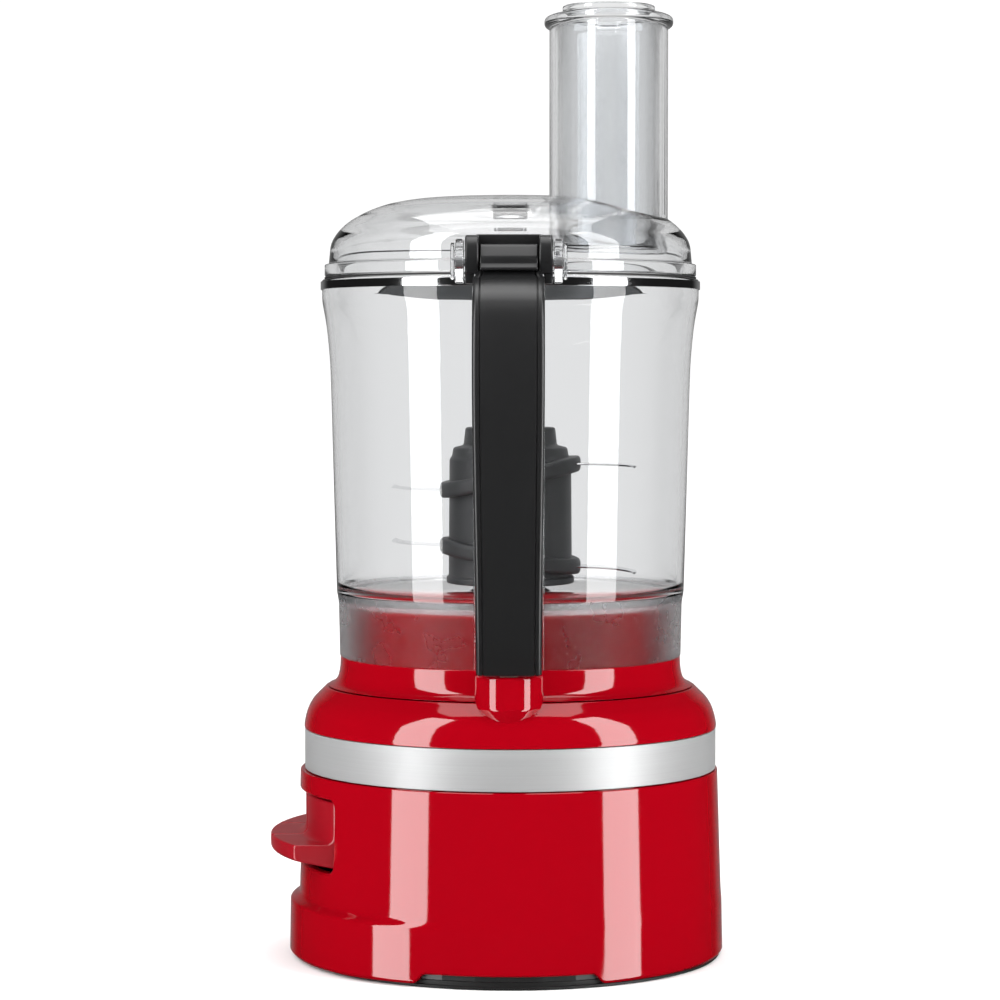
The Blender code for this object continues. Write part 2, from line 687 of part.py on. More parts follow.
# ---------------------------------------------------------------- lid
def lid():
    """Domed lid with a flange, the oval feed tube, ears for the latch and a hinge tab."""
    dome = turned("lid", [
        (0, LID_TOP), (45.3, 344.3), (65.3, 339.6), (74.2, 335.0), (79.3, 330.3),
        (82.3, 325.7), (83.2, 316.5), (LID_FLANGE_R, 316.3), (LID_FLANGE_R, LID_BASE),
        (79.5, LID_BASE), (79.8, 325.0), (72.0, 333.0), (45.0, 341.8), (9.0, 343.0),
        (9.0, 331.0), (0, 331.0),
    ], CLEAR, SWING, on_axis=True)
    outside = plate("tube_outside", ellipse(TUBE_X_HALF, TUBE_Y_HALF, TUBE_Y), TUBE_FOOT,
                    TUBE_TOP - 1, parent=SWING)
    flange = plate("tube_flange", ellipse(TUBE_X_HALF + 2.3, TUBE_Y_HALF + 2.3, TUBE_Y),
                   TUBE_TOP - 4, TUBE_TOP, parent=SWING)
    inside = plate("tube_inside", ellipse(TUBE_X_HALF - WALL, TUBE_Y_HALF - WALL, TUBE_Y),
                   300, 440, parent=SWING)
    join(dome, outside, flange)
    cut(dome, inside)
    for side in (-1, 1):
        middle = side * 21.2
        ear = plate(f"ear_{side}", [
            (80.8, 312.9), (86.4, 312.0), (87.2, 306.8), *arc((PIN_X, PIN_Z), 9.2, 250, 400, 6), (88.0, 325.0),
            (80.8, 323.5),
        ], -middle - 2.0, -middle + 2.0, parent=SWING, turn=STAND)
        join(dome, ear)
        knuckle = plate(f"hinge_knuckle_{side}", [
            *arc((HINGE_X, HINGE_Z), 4.8, 130, 300, 6), (HINGE_X + 5.3, 309.9), (-82.0, 313.0),
            (-82.0, 315.8),
        ], -side * 12 - 3, -side * 12 + 3, parent=SWING, turn=STAND)
        join(dome, knuckle)
    cut(dome, bar_y("ear_bore", 2.2, 30, (PIN_X, 0, PIN_Z), parent=SWING, sides=16),
        bar_y("knuckle_bore", 2.2, 20, (HINGE_X, 0, HINGE_Z), parent=SWING, sides=16))
    ring("lid_gasket", 83.2, 80.2, BOWL_RIM + GAP, LID_BASE - GAP, RUBBER, SWING, sides=ROUND)


def latch():
    """Black frame that swings on two pins in the lid's ears, with a thumb barrel across it."""
    swing = axis_empty("lid_latch_axis", (PIN_X, 0, PIN_Z), SWING)
    frame = plate("lid_latch", [
        (86.6, 319.5), (86.6, 323.0), (89.0, 325.4), (92.4, 325.4), (92.4, 319.5),
    ], -18.5, 18.5, BLACK, swing, STAND)
    join(frame, bar_y("latch_barrel", 4.7, 15.2, (97.4, 0, 318.2), parent=swing))
    for side in (-1, 1):
        middle = side * 16.7
        knuckle = plate(f"latch_knuckle_{side}", [
            (86.8, 317.0), (86.8, 322.5), (90.0, 325.0), *arc((PIN_X, PIN_Z + 1), 7.4, 90, -60, 6),
            (98.2, 305.2), (92.2, 305.2), (89.0, 312.0),
        ], -middle - 2.2, -middle + 2.2, parent=swing, turn=STAND)
        join(frame, knuckle)
        bar_y(f"latch_pin_{'right' if side > 0 else 'left'}", 2.0, 4.9,
              (PIN_X, side * 18.6, PIN_Z), STEEL, SWING, sides=16)
    cut(frame, bar_y("latch_bore", 2.2, 30, (PIN_X, 0, PIN_Z), parent=swing, sides=16))


# ---------------------------------------------------------------- pushers
def pushers():
    """Oval pusher shaped as a deep cup with a round collar, and the small pusher inside it."""
    slide = axis_empty("large_pusher_axis", (0, TUBE_Y, 330), SWING)
    outer = (TUBE_X_HALF - WALL - 1.0, TUBE_Y_HALF - WALL - 1.0)
    cup = plate("large_pusher", ellipse(*outer, TUBE_Y), 322.0, 427.5, CLEAR, slide)
    collar = drum("pusher_collar", 21.1, 426.2, PUSHER_TOP, parent=slide, sides=28,
                  centre=(0, TUBE_Y))
    hollow = plate("pusher_hollow", ellipse(outer[0] - 2.0, outer[1] - 2.0, TUBE_Y), 324.4, 425.0,
                   parent=slide)
    mouth = drum("pusher_mouth", 19.0, 423, 440, parent=slide, sides=28, centre=(0, TUBE_Y))
    sleeve_r = SMALL_PUSHER_R + 3.2
    bore_r = SMALL_PUSHER_R + 1.0
    sleeve = plate("pusher_sleeve", ellipse(sleeve_r, sleeve_r, TUBE_Y, 22), 323.2, 420.0,
                   parent=slide)
    bore = plate("pusher_bore", ellipse(bore_r, bore_r, TUBE_Y, 22), 318, 422, parent=slide)
    cut(cup, hollow)
    join(cup, collar)
    cut(cup, mouth)
    join(cup, sleeve)
    cut(cup, bore)
    inner = axis_empty("small_pusher_axis", (0, TUBE_Y, 330), slide)
    turned("small_pusher", [
        (0, 325.0), (SMALL_PUSHER_R - 2, 325.0), (SMALL_PUSHER_R - 2, 424.0),
        (SMALL_PUSHER_R + 4.5, 424.0), (SMALL_PUSHER_R + 4.5, 420.4), (SMALL_PUSHER_R, 420.4),
        (SMALL_PUSHER_R, 322.5), (0, 322.5),
    ], CLEAR, inner, centre=(0, TUBE_Y), on_axis=True)


# ---------------------------------------------------------------- blade
def blade_outline(margin=0.0):
    """Plan of one blade: a scimitar whose middle line turns back as it runs outward."""
    start, end, steps = 20.0, BLADE_R, 6
    front, back = [], []
    for i in range(steps + 1):
        share = i / steps
        radius = start + (end + margin - start) * share
        turn = -radians(38) * share ** 1.6
        half = 9.0 * (1 - share ** 2.2) + 1.0 + margin
        for side, edge in ((1, front), (-1, back)):
            edge.append((radius * cos(turn) - side * half * sin(turn),
                         radius * sin(turn) + side * half * cos(turn)))
    return front + back[::-1]


def blade_set():
    """Hub that drops over the bowl's pipe onto the hexagon coupling, with four thin blades."""
    spin = axis_empty("blade_spin_axis", (0, 0, 200), LIFT)
    hub = turned("blade_hub", [
        (0, HUB_TOP), (21.5, HUB_TOP), (22.0, 233.5), (26.8, 232.5), (27.0, 228.5),
        (31.5, 227.5), (31.5, 209.5), (28.0, 208.5), (28.4, 190.5), (32.5, 189.5),
        (32.5, 174.0), (28.4, 173.0), (28.4, HUB_FOOT), (25.0, HUB_FOOT),
        (14.6, 178.0), (14.6, 207.8), (0, 207.8),
    ], HUB_GREY, spin, on_axis=True, sides=28)
    cut(hub, plate("hub_socket", hexagon(10.0), 205, 236.5, parent=spin))
    for i, (level, angle) in enumerate(zip(BLADE_LEVELS, BLADE_TURNS)):
        turn = Matrix.Rotation(radians(angle), 4, "Z")
        plate(f"blade_{i + 1}", blade_outline(), level - 0.6, level + 0.6, STEEL, spin, turn)
        cut(hub, plate(f"blade_slot_{i + 1}", blade_outline(0.35), level - 0.9, level + 0.9,
                       parent=spin, turn=turn))


for make in (
    lower_housing, bottom_plate, feet_and_screws, trim_band, upper_housing, neck_collar, motor,
    drive, paddles, cord_gland, control_board, interlock, bowl, rod_channel, handle_grip,
    interlock_rod, lid, latch, pushers, blade_set,
):
    make()
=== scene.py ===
import json
import math

import bmesh
import bpy
import numpy as np
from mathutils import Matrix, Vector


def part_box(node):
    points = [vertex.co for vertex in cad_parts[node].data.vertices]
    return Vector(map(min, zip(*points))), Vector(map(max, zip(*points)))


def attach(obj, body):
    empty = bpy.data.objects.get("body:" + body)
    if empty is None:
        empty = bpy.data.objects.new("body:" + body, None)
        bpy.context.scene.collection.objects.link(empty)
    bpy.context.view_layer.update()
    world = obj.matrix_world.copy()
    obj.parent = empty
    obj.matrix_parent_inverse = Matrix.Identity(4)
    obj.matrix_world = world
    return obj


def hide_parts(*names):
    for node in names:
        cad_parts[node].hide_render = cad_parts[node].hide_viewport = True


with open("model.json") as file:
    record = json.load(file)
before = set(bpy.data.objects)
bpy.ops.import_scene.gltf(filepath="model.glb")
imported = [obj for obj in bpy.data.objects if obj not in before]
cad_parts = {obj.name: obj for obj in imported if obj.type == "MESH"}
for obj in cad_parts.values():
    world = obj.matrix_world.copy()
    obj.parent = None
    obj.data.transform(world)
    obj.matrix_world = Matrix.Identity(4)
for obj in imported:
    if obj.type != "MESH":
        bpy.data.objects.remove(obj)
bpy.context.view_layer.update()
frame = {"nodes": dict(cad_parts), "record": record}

# ---------------------------------------------------------------- floor, lights and camera
# A pale seamless floor, a white room, two tall strip softboxes left and right of the camera
# and a soft overhead lamp. The camera stands on the handle's side, a little under the lid.
MM = 0.001
shaft_low, shaft_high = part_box("drive_shaft")
AXIS = np.array([(shaft_low.x + shaft_high.x) / 2, (shaft_low.y + shaft_high.y) / 2, 0.0])
scene = bpy.context.scene


ROOM_SEEN, ROOM_SCATTERED = 1.06, 0.62  # brightness for the camera and for matt surfaces


def studio_room():
    """White room for what is seen directly. Reflections, and light that comes through clear
    parts, each see a smooth step of the direction's X part, darker in front of the object."""
    world = bpy.data.worlds.new("studio_room")
    world.use_nodes = True
    nodes, link = world.node_tree.nodes, world.node_tree.links.new
    nodes.clear()
    place = nodes.new("ShaderNodeTexCoord")
    split = nodes.new("ShaderNodeSeparateXYZ")
    link(place.outputs["Generated"], split.inputs[0])

    def gradient(low, high, dark, light):
        step = nodes.new("ShaderNodeMapRange")
        step.interpolation_type = "SMOOTHSTEP"
        for socket, value in zip(step.inputs[1:5], (low, high, light, dark)):
            socket.default_value = value
        link(split.outputs["X"], step.inputs[0])
        return step.outputs[0]

    def chosen(factor, first, second):
        mix = nodes.new("ShaderNodeMix")
        link(factor, mix.inputs[0])
        link(first, mix.inputs[2])
        link(second, mix.inputs[3])
        return mix.outputs[0]

    def level(value):
        number = nodes.new("ShaderNodeValue")
        number.outputs[0].default_value = value
        return number.outputs[0]

    path = nodes.new("ShaderNodeLightPath")
    through = gradient(-0.95, -0.50, 0.11, 0.90)
    mirrored = gradient(-0.99, -0.80, 0.015, 0.22)
    bent = chosen(path.outputs["Is Transmission Ray"], mirrored, through)
    seen = chosen(path.outputs["Is Glossy Ray"], level(ROOM_SCATTERED), bent)
    strength = chosen(path.outputs["Is Camera Ray"], seen, level(ROOM_SEEN))
    light = nodes.new("ShaderNodeBackground")
    light.inputs["Color"].default_value = (1, 1, 1, 1)
    link(strength, light.inputs["Strength"])
    out = nodes.new("ShaderNodeOutputWorld")
    link(light.outputs[0], out.inputs[0])
    return world


scene.world = studio_room()
scene.view_settings.view_transform = "Standard"

SOFTBOX_REACH, SOFTBOX_HEIGHT = 1.25, 0.35
SOFTBOX_WIDTH, SOFTBOX_LENGTH, SOFTBOX_WATTS = 0.48, 3.2, 45.0
OVERHEAD_SIDE, OVERHEAD_WATTS, OVERHEAD_HEIGHT, OVERHEAD_BACK = 1.2, 12.0, 1.5, 0.2
for side, degrees in (("left", -53.7), ("right", 60.6)):
    lamp = bpy.data.lights.new(f"softbox_{side}", "AREA")
    lamp.shape = "RECTANGLE"
    lamp.size, lamp.size_y, lamp.energy = SOFTBOX_WIDTH, SOFTBOX_LENGTH, SOFTBOX_WATTS
    turn = math.radians(degrees)
    stand = bpy.data.objects.new(f"softbox_{side}", lamp)
    stand.location = (AXIS[0] + SOFTBOX_REACH * math.cos(turn),
                      AXIS[1] + SOFTBOX_REACH * math.sin(turn), SOFTBOX_HEIGHT)
    stand.rotation_euler = (math.pi / 2, 0, turn + math.pi / 2)
    stand.visible_transmission = False
    scene.collection.objects.link(stand)
overhead = bpy.data.lights.new("overhead", "AREA")
overhead.shape = "RECTANGLE"
overhead.size, overhead.size_y, overhead.energy = OVERHEAD_SIDE, OVERHEAD_SIDE, OVERHEAD_WATTS
top_stand = bpy.data.objects.new("overhead", overhead)
top_stand.location = (AXIS[0] - OVERHEAD_BACK, AXIS[1], OVERHEAD_HEIGHT)
scene.collection.objects.link(top_stand)

CAMERA_REACH, CAMERA_SIDE, CAMERA_HEIGHT = 1.4423, -0.00474, 0.2687
CAMERA_TURN, CAMERA_TILT = math.radians(0.55), 2.392
LENS_MM, SENSOR_MM = 112.87, 36.0
camera = bpy.data.cameras.new("camera")
camera.lens, camera.sensor_width = LENS_MM, SENSOR_MM
camera_stand = bpy.data.objects.new("camera", camera)
camera_stand.location = (
    AXIS[0] + CAMERA_REACH * math.cos(CAMERA_TURN) - CAMERA_SIDE * math.sin(CAMERA_TURN),
    AXIS[1] + CAMERA_REACH * math.sin(CAMERA_TURN) + CAMERA_SIDE * math.cos(CAMERA_TURN),
    CAMERA_HEIGHT)
camera_stand.rotation_euler = (math.radians(90 - CAMERA_TILT), 0, math.pi / 2 + CAMERA_TURN)
scene.collection.objects.link(camera_stand)
scene.camera = camera_stand


def lay_floor():
    """A wide plane of 40 by 40 cells with a very slight swell, so that it isn't dead flat."""
    steps = np.linspace(-1.0, 1.0, 41)
    steps = 60.0 * steps ** 3 + 2.0 * steps
    x, y = np.meshgrid(steps, steps)
    z = -0.0002 * (np.sin(0.9 * x) * np.cos(0.7 * y)) ** 2 - 0.00005
    points = np.stack([x, y, z], -1).reshape(-1, 3)
    corner = (np.arange(40)[:, None] * 41 + np.arange(40)).reshape(-1)
    faces = np.stack([corner, corner + 1, corner + 42, corner + 41], -1)
    mesh = bpy.data.meshes.new("floor")
    mesh.from_pydata(points.tolist(), [], faces.tolist())
    floor = bpy.data.objects.new("floor", mesh)
    scene.collection.objects.link(floor)
    paint = bpy.data.materials.new("floor_paper")
    paint.use_nodes = True
    tree = paint.node_tree
    grain = tree.nodes.new("ShaderNodeTexNoise")
    grain.inputs["Scale"].default_value = 90.0
    shade = tree.nodes.new("ShaderNodeMapRange")
    shade.inputs["To Min"].default_value = 0.93
    shade.inputs["To Max"].default_value = 0.96
    tree.links.new(grain.outputs[0], shade.inputs[0])
    surface = tree.nodes["Principled BSDF"]
    tree.links.new(shade.outputs[0], surface.inputs["Base Color"])
    surface.inputs["Roughness"].default_value = 0.9
    surface.inputs["Specular IOR Level"].default_value = 0.1
    surface.inputs["Emission Color"].default_value = (1, 1, 1, 1)
    surface.inputs["Emission Strength"].default_value = 0.6
    place = tree.nodes.new("ShaderNodeTexCoord")
    reach = tree.nodes.new("ShaderNodeVectorMath")
    reach.operation = "LENGTH"
    glow = tree.nodes.new("ShaderNodeMapRange")
    glow.inputs["From Min"].default_value = 0.5
    glow.inputs["From Max"].default_value = 2.5
    tree.links.new(place.outputs["Object"], reach.inputs[0])
    tree.links.new(reach.outputs["Value"], glow.inputs[0])
    tree.links.new(glow.outputs[0], surface.inputs["Emission Color"])
    mesh.materials.append(paint)
    floor.visible_glossy = False
    floor.visible_transmission = False
    return floor


lay_floor()


# ---------------------------------------------------------------- lower housing
# Injection-moulded glossy shell that carries the motor: nearly round, with a low apron in
# front, a finger notch at each side and a rounded window for the three press keys.
def moulded_effect():
    """Detail of moulded plastic: slow drifts of shade, fine tool grain and faint wipe marks.
    Colour is the plastic's colour times 1 + Drift x noise; Height sums two noises."""
    group = bpy.data.node_groups.new("moulded_effect", "ShaderNodeTree")
    face = group.interface
    face.new_socket("Colour", in_out="INPUT", socket_type="NodeSocketColor")
    for name, value in (("Drift", 0.05), ("Grain", 900.0), ("Gloss", 0.1), ("Spread", 0.03),
                        ("Swell", 14.0), ("Fine", 0.5)):
        socket = face.new_socket(name, in_out="INPUT", socket_type="NodeSocketFloat")
        socket.default_value = value
    face.new_socket("Colour", in_out="OUTPUT", socket_type="NodeSocketColor")
    face.new_socket("Roughness", in_out="OUTPUT", socket_type="NodeSocketFloat")
    face.new_socket("Height", in_out="OUTPUT", socket_type="NodeSocketFloat")
    nodes, link = group.nodes, group.links.new
    given, made = nodes.new("NodeGroupInput"), nodes.new("NodeGroupOutput")
    place = nodes.new("ShaderNodeTexCoord")

    def noise(scale, detail):
        texture = nodes.new("ShaderNodeTexNoise")
        texture.inputs["Detail"].default_value = detail
        link(place.outputs["Object"], texture.inputs["Vector"])
        if isinstance(scale, float):
            texture.inputs["Scale"].default_value = scale
        else:
            link(scale, texture.inputs["Scale"])
        return texture.outputs[0]

    def sum_of(operation, *values):
        node = nodes.new("ShaderNodeMath")
        node.operation = operation
        for socket, value in zip(node.inputs, values):
            if isinstance(value, (int, float)):
                socket.default_value = value
            else:
                link(value, socket)
        return node.outputs[0]

    swell = noise(given.outputs["Swell"], 2.0)
    fine = noise(given.outputs["Grain"], 3.0)
    wipe = noise(70.0, 6.0)
    drift = sum_of("MULTIPLY_ADD", sum_of("SUBTRACT", swell, 0.5), given.outputs["Drift"], 1.0)
    tint = nodes.new("ShaderNodeVectorMath")
    tint.operation = "SCALE"
    link(given.outputs["Colour"], tint.inputs[0])
    link(drift, tint.inputs["Scale"])
    link(tint.outputs[0], made.inputs["Colour"])
    smear = sum_of("MULTIPLY_ADD", sum_of("SUBTRACT", wipe, 0.5), given.outputs["Spread"],
                   given.outputs["Gloss"])
    link(smear, made.inputs["Roughness"])
    height = sum_of("MULTIPLY_ADD", fine, given.outputs["Fine"], swell)
    link(height, made.inputs["Height"])
    return group


MOULDED = moulded_effect()


def moulded(name, colour, gloss, relief=0.00002, **amounts):
    """Opaque plastic or rubber: the moulded effect on a Principled shader."""
    look = bpy.data.materials.new(name)
    look.use_nodes = True
    nodes, link = look.node_tree.nodes, look.node_tree.links.new
    surface = nodes["Principled BSDF"]
    effect = nodes.new("ShaderNodeGroup")
    effect.node_tree = MOULDED
    effect.inputs["Colour"].default_value = (*colour, 1)
    effect.inputs["Gloss"].default_value = gloss
    for socket, value in amounts.items():
        effect.inputs[socket].default_value = value
    bump = nodes.new("ShaderNodeBump")
    bump.inputs["Distance"].default_value = relief
    link(effect.outputs["Colour"], surface.inputs["Base Color"])
    link(effect.outputs["Roughness"], surface.inputs["Roughness"])
    link(effect.outputs["Height"], bump.inputs["Height"])
    link(bump.outputs[0], surface.inputs["Normal"])
    return look


def filleted(outline, radius, steps=5):
    """Rounds the corners of a closed outline: each corner gives way to a parabola that starts
    and ends `radius` back along its two sides, or 0.45 of a side that is shorter."""
    outline = np.asarray(outline, float)
    before, after = np.roll(outline, 1, 0) - outline, np.roll(outline, -1, 0) - outline
    length_before = np.linalg.norm(before, axis=1, keepdims=True)
    length_after = np.linalg.norm(after, axis=1, keepdims=True)
    back = np.minimum(np.reshape(radius, (-1, 1)), 0.45 * np.minimum(length_before, length_after))
    start = (outline + before / length_before * back)[:, None]
    end = (outline + after / length_after * back)[:, None]
    t = np.linspace(0, 1, steps + 1)[None, :, None]
    curve = (1 - t) ** 2 * start + 2 * t * (1 - t) * outline[:, None] + t ** 2 * end
    return curve.reshape(-1, 2)


def woven(rows, columns, closed=True):
    """Faces of a grid whose columns run round: each cell joins a point, the next one in its
    row and the two above them. A closed grid also joins its last row to its first."""
    row = np.arange(rows if closed else rows - 1)[:, None]
    column = np.arange(columns)[None, :]
    above, beside = (row + 1) % rows, (column + 1) % columns
    cells = (row * columns + column, row * columns + beside,
             above * columns + beside, above * columns + column)
    return np.stack(cells, -1).reshape(-1, 4)


def fitted(name, points, faces, body, look, stands_for=(), crease=32.0):
    """Makes a piece of millimetre points about the drive axis, merges doubles, turns its faces
    outwards by the sign of its volume, shades it smooth between creases and fixes it to a body."""
    mesh = bpy.data.meshes.new(name)
    mesh.from_pydata((np.asarray(points).reshape(-1, 3) * MM + AXIS).tolist(), [], faces)
    work = bmesh.new()
    work.from_mesh(mesh)
    bmesh.ops.remove_doubles(work, verts=work.verts, dist=2e-6)
    if work.calc_volume(signed=True) < 0:
        bmesh.ops.reverse_faces(work, faces=work.faces)
    work.to_mesh(mesh)
    work.free()
    mesh.shade_smooth()
    mesh.set_sharp_from_angle(angle=math.radians(crease))
    item = bpy.data.objects.new(name, mesh)
    scene.collection.objects.link(item)
    for material in look if isinstance(look, tuple) else (look,):
        mesh.materials.append(material)
    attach(item, body)
    if stands_for:
        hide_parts(*stands_for)
    return item


def box_sdf(u, v, half_u, half_v, corner):
    """Distance from a rounded rectangle's edge, negative inside: the length of how far the
    point lies past the corner circle's centre, less the corner's radius."""
    du, dv = np.abs(u) - half_u + corner, np.abs(v) - half_v + corner
    outside = np.hypot(np.maximum(du, 0), np.maximum(dv, 0))
    return outside + np.minimum(np.maximum(du, dv), 0) - corner


def gathered(low, high, step, *spots):
    """Values from low to high at a step, with finer ones of 0.32 within 2.2 of each spot."""
    fine = [spot + np.arange(-2.2, 2.21, 0.32) for spot in spots]
    values = np.unique(np.round(np.concatenate([np.arange(low, high, step), [high], *fine]), 4))
    return values[(values >= low) & (values <= high)]


RED_GLOSS = moulded("red_gloss", (0.245, 0.0001, 0.004), 0.055, relief=0.000012,
                    Drift=0.04, Spread=0.02, Swell=9.0, Fine=0.02)

WINDOW_HALF = 59.2  # along the wall
WINDOW_LOW, WINDOW_HIGH = 43.8, 76.4
NOTCH_HALF, NOTCH_END, NOTCH_RISE = 37.0, 42.0, 4.5


def lower_housing():
    """Outer skin: radius = wall line + apron where the front faces down low + lip under the
    band, less a fillet and then the whole wall inside the key window. Inner skin: plain."""
    arc = gathered(-math.pi * 96, math.pi * 96, 1.9, -WINDOW_HALF, WINDOW_HALF, -150.8 - 42,
                   -150.8 + 42, 150.8 - 42, 150.8 + 42)[:-1]
    height = gathered(1.7, 85.5, 2.4, WINDOW_LOW, WINDOW_HIGH, 3.6, 27.5, 83.5)
    a, z = np.meshgrid(arc, height)
    angle = a / 96 - math.pi / 2
    facing = -np.sin(angle)
    line = np.interp(height, [1.7, 2.9, 25.0, 31.0, 85.1, 85.5],
                     [96.9, 97.9, 97.55, 97.1, 95.4, 95.0])[:, None]
    low = np.clip((29.4 - z) / 3.8, 0, 1)
    low = low * low * (3 - 2 * low)
    apron = 3.8 * np.minimum(1, 1.6 * np.maximum(0, facing - 0.30) / 0.65) * low
    high = np.clip((z - 75.0) / 2.0, 0, 1)
    near = np.clip((facing - 0.80) / 0.12, 0, 1)
    lip = 1.2 * near * near * (3 - 2 * near) * high
    radius = line + apron + lip
    inner = np.interp(height, [1.7, 85.5], [94.7, 92.8])[:, None]
    edge = 1.5
    away = box_sdf(a, z - (WINDOW_LOW + WINDOW_HIGH) / 2, WINDOW_HALF,
                   (WINDOW_HIGH - WINDOW_LOW) / 2, 5.0)
    bite = np.clip((edge - away) / edge, 0, 1)
    dip = edge * (1 - np.sqrt(1 - bite ** 2))
    radius = np.where(away > 0, radius - dip, inner)
    across = np.abs(radius * np.sin(angle))
    ramp = np.clip((NOTCH_END - across) / (NOTCH_END - NOTCH_HALF), 0, 1)
    lift = NOTCH_RISE * ramp * ramp * (3 - 2 * ramp) * np.clip((16.0 - z) / 15.0, 0, 1)
    outer_grid = np.stack([radius * np.cos(angle), radius * np.sin(angle), z + lift], -1)
    inner_grid = np.stack([inner * np.cos(angle), inner * np.sin(angle), z + lift], -1)
    rows, columns = z.shape
    grid = np.concatenate([outer_grid, inner_grid[::-1]])
    faces = woven(2 * rows, columns)
    gone = (away <= 0).reshape(-1)
    gone = np.concatenate([gone, (away[::-1] <= 0).reshape(-1)])
    faces = faces[~gone[faces].all(1)]
    return grid, faces


grid, faces = lower_housing()
fitted("housing_shell", grid, faces.tolist(), "base", RED_GLOSS,
       ("lower_housing",))

# ---------------------------------------------------------------- painted shadow ring
# Near-black ring under the wall, on the bottom plate's edge: painted shade, standing in for the
# contact shadow under the base. It stands clear of the table and fills the finger notches from
# behind with painted shade.
PAINTED_SHADOW_BLACK = moulded("painted_shadow_black", (0.006, 0.006, 0.006), 0.6, Drift=0.12, Spread=0.08,
                     Grain=1400.0, Fine=0.8)


def turned(profile, columns=288, centre=(0.0, 0.0), base=(0.0, 0.0), turn=0.0):
    """Carries a profile of (offset, height) round an oval of half axes `base`: each point lies
    on the oval and then `offset` further out along the oval's outward direction."""
    profile = np.asarray(profile, float)
    t = np.linspace(0, 2 * math.pi, columns, endpoint=False) + turn
    out_x, out_y = np.cos(t) * max(base[1], 1e-9), np.sin(t) * max(base[0], 1e-9)
    if base[0] == base[1]:
        out_x, out_y = np.cos(t), np.sin(t)
    long = np.hypot(out_x, out_y)
    offset, height = profile[:, :1], profile[:, 1:]
    x = centre[0] + base[0] * np.cos(t) + offset * out_x / long
    y = centre[1] + base[1] * np.sin(t) + offset * out_y / long
    return np.stack([x, y, height + 0 * x], -1)


def ring_piece(name, profile, body, slot, look, stands_for=(), closed=True, columns=288,
               crease=32.0, **oval):
    """A turned piece from its profile."""
    points = turned(profile, columns, **oval)
    faces = woven(len(points), columns, closed)
    return fitted(name, points, faces.tolist(), body, look, stands_for, crease)


# Painted shadow: this near-black ring stands in for the contact shadow under the base and the shade
# in the notches.
ring_piece("painted_shadow_ring", filleted([(96.4, 0.1), (96.7, 1.3), (94.5, 1.3), (94.5, 3.2), (89.0, 3.2),
                                  (89.0, 0.1)], 0.2),
           "base", "black_plastic", PAINTED_SHADOW_BLACK)

# ---------------------------------------------------------------- trim band
# Brushed aluminium ring between the two housings, turned from strip, held by the spigot.
def brushed_effect():
    """Brush lines round the drive axis: noise stretched so that it changes quickly only with
    height. Shade, roughness and relief all follow it."""
    group = bpy.data.node_groups.new("brushed_effect", "ShaderNodeTree")
    face = group.interface
    face.new_socket("Colour", in_out="INPUT", socket_type="NodeSocketColor")
    for name, value in (("Lines", 2600.0), ("Along", 9.0), ("Depth", 0.25), ("Gloss", 0.3),
                        ("Spread", 0.15)):
        socket = face.new_socket(name, in_out="INPUT", socket_type="NodeSocketFloat")
        socket.default_value = value
    for name, kind in (("Colour", "NodeSocketColor"), ("Roughness", "NodeSocketFloat"),
                       ("Height", "NodeSocketFloat")):
        face.new_socket(name, in_out="OUTPUT", socket_type=kind)
    nodes, link = group.nodes, group.links.new
    given, made = nodes.new("NodeGroupInput"), nodes.new("NodeGroupOutput")
    place = nodes.new("ShaderNodeTexCoord")
    stretch = nodes.new("ShaderNodeCombineXYZ")
    link(given.outputs["Along"], stretch.inputs[0])
    link(given.outputs["Along"], stretch.inputs[1])
    link(given.outputs["Lines"], stretch.inputs[2])
    scaled = nodes.new("ShaderNodeVectorMath")
    scaled.operation = "MULTIPLY"
    link(place.outputs["Object"], scaled.inputs[0])
    link(stretch.outputs[0], scaled.inputs[1])
    lines = nodes.new("ShaderNodeTexNoise")
    lines.inputs["Scale"].default_value = 1.0
    lines.inputs["Detail"].default_value = 4.0
    link(scaled.outputs[0], lines.inputs["Vector"])
    centred = nodes.new("ShaderNodeMath")
    centred.operation = "SUBTRACT"
    centred.inputs[1].default_value = 0.5
    link(lines.outputs[0], centred.inputs[0])
    shade = nodes.new("ShaderNodeMath")
    shade.operation = "MULTIPLY_ADD"
    shade.inputs[2].default_value = 1.0
    link(centred.outputs[0], shade.inputs[0])
    link(given.outputs["Depth"], shade.inputs[1])
    tint = nodes.new("ShaderNodeVectorMath")
    tint.operation = "SCALE"
    link(given.outputs["Colour"], tint.inputs[0])
    link(shade.outputs[0], tint.inputs["Scale"])
    link(tint.outputs[0], made.inputs["Colour"])
    smear = nodes.new("ShaderNodeMath")
    smear.operation = "MULTIPLY_ADD"
    link(centred.outputs[0], smear.inputs[0])
    link(given.outputs["Spread"], smear.inputs[1])
    link(given.outputs["Gloss"], smear.inputs[2])
    link(smear.outputs[0], made.inputs["Roughness"])
    link(lines.outputs[0], made.inputs["Height"])
    return group


BRUSHED = brushed_effect()


def brushed(name, colour, gloss, metallic=1.0, relief=0.00001, **amounts):
    """Worked metal: the brushed effect on a metallic Principled shader."""
    look = bpy.data.materials.new(name)
    look.use_nodes = True
    nodes, link = look.node_tree.nodes, look.node_tree.links.new
    surface = nodes["Principled BSDF"]
    surface.inputs["Metallic"].default_value = metallic
    effect = nodes.new("ShaderNodeGroup")
    effect.node_tree = BRUSHED
    effect.inputs["Colour"].default_value = (*colour, 1)
    effect.inputs["Gloss"].default_value = gloss
    for socket, value in amounts.items():
        effect.inputs[socket].default_value = value
    bump = nodes.new("ShaderNodeBump")
    bump.inputs["Distance"].default_value = relief
    bump.inputs["Strength"].default_value = 0.6
    link(effect.outputs["Colour"], surface.inputs["Base Color"])
    link(effect.outputs["Roughness"], surface.inputs["Roughness"])
    link(effect.outputs["Height"], bump.inputs["Height"])
    link(bump.outputs[0], surface.inputs["Normal"])
    return look


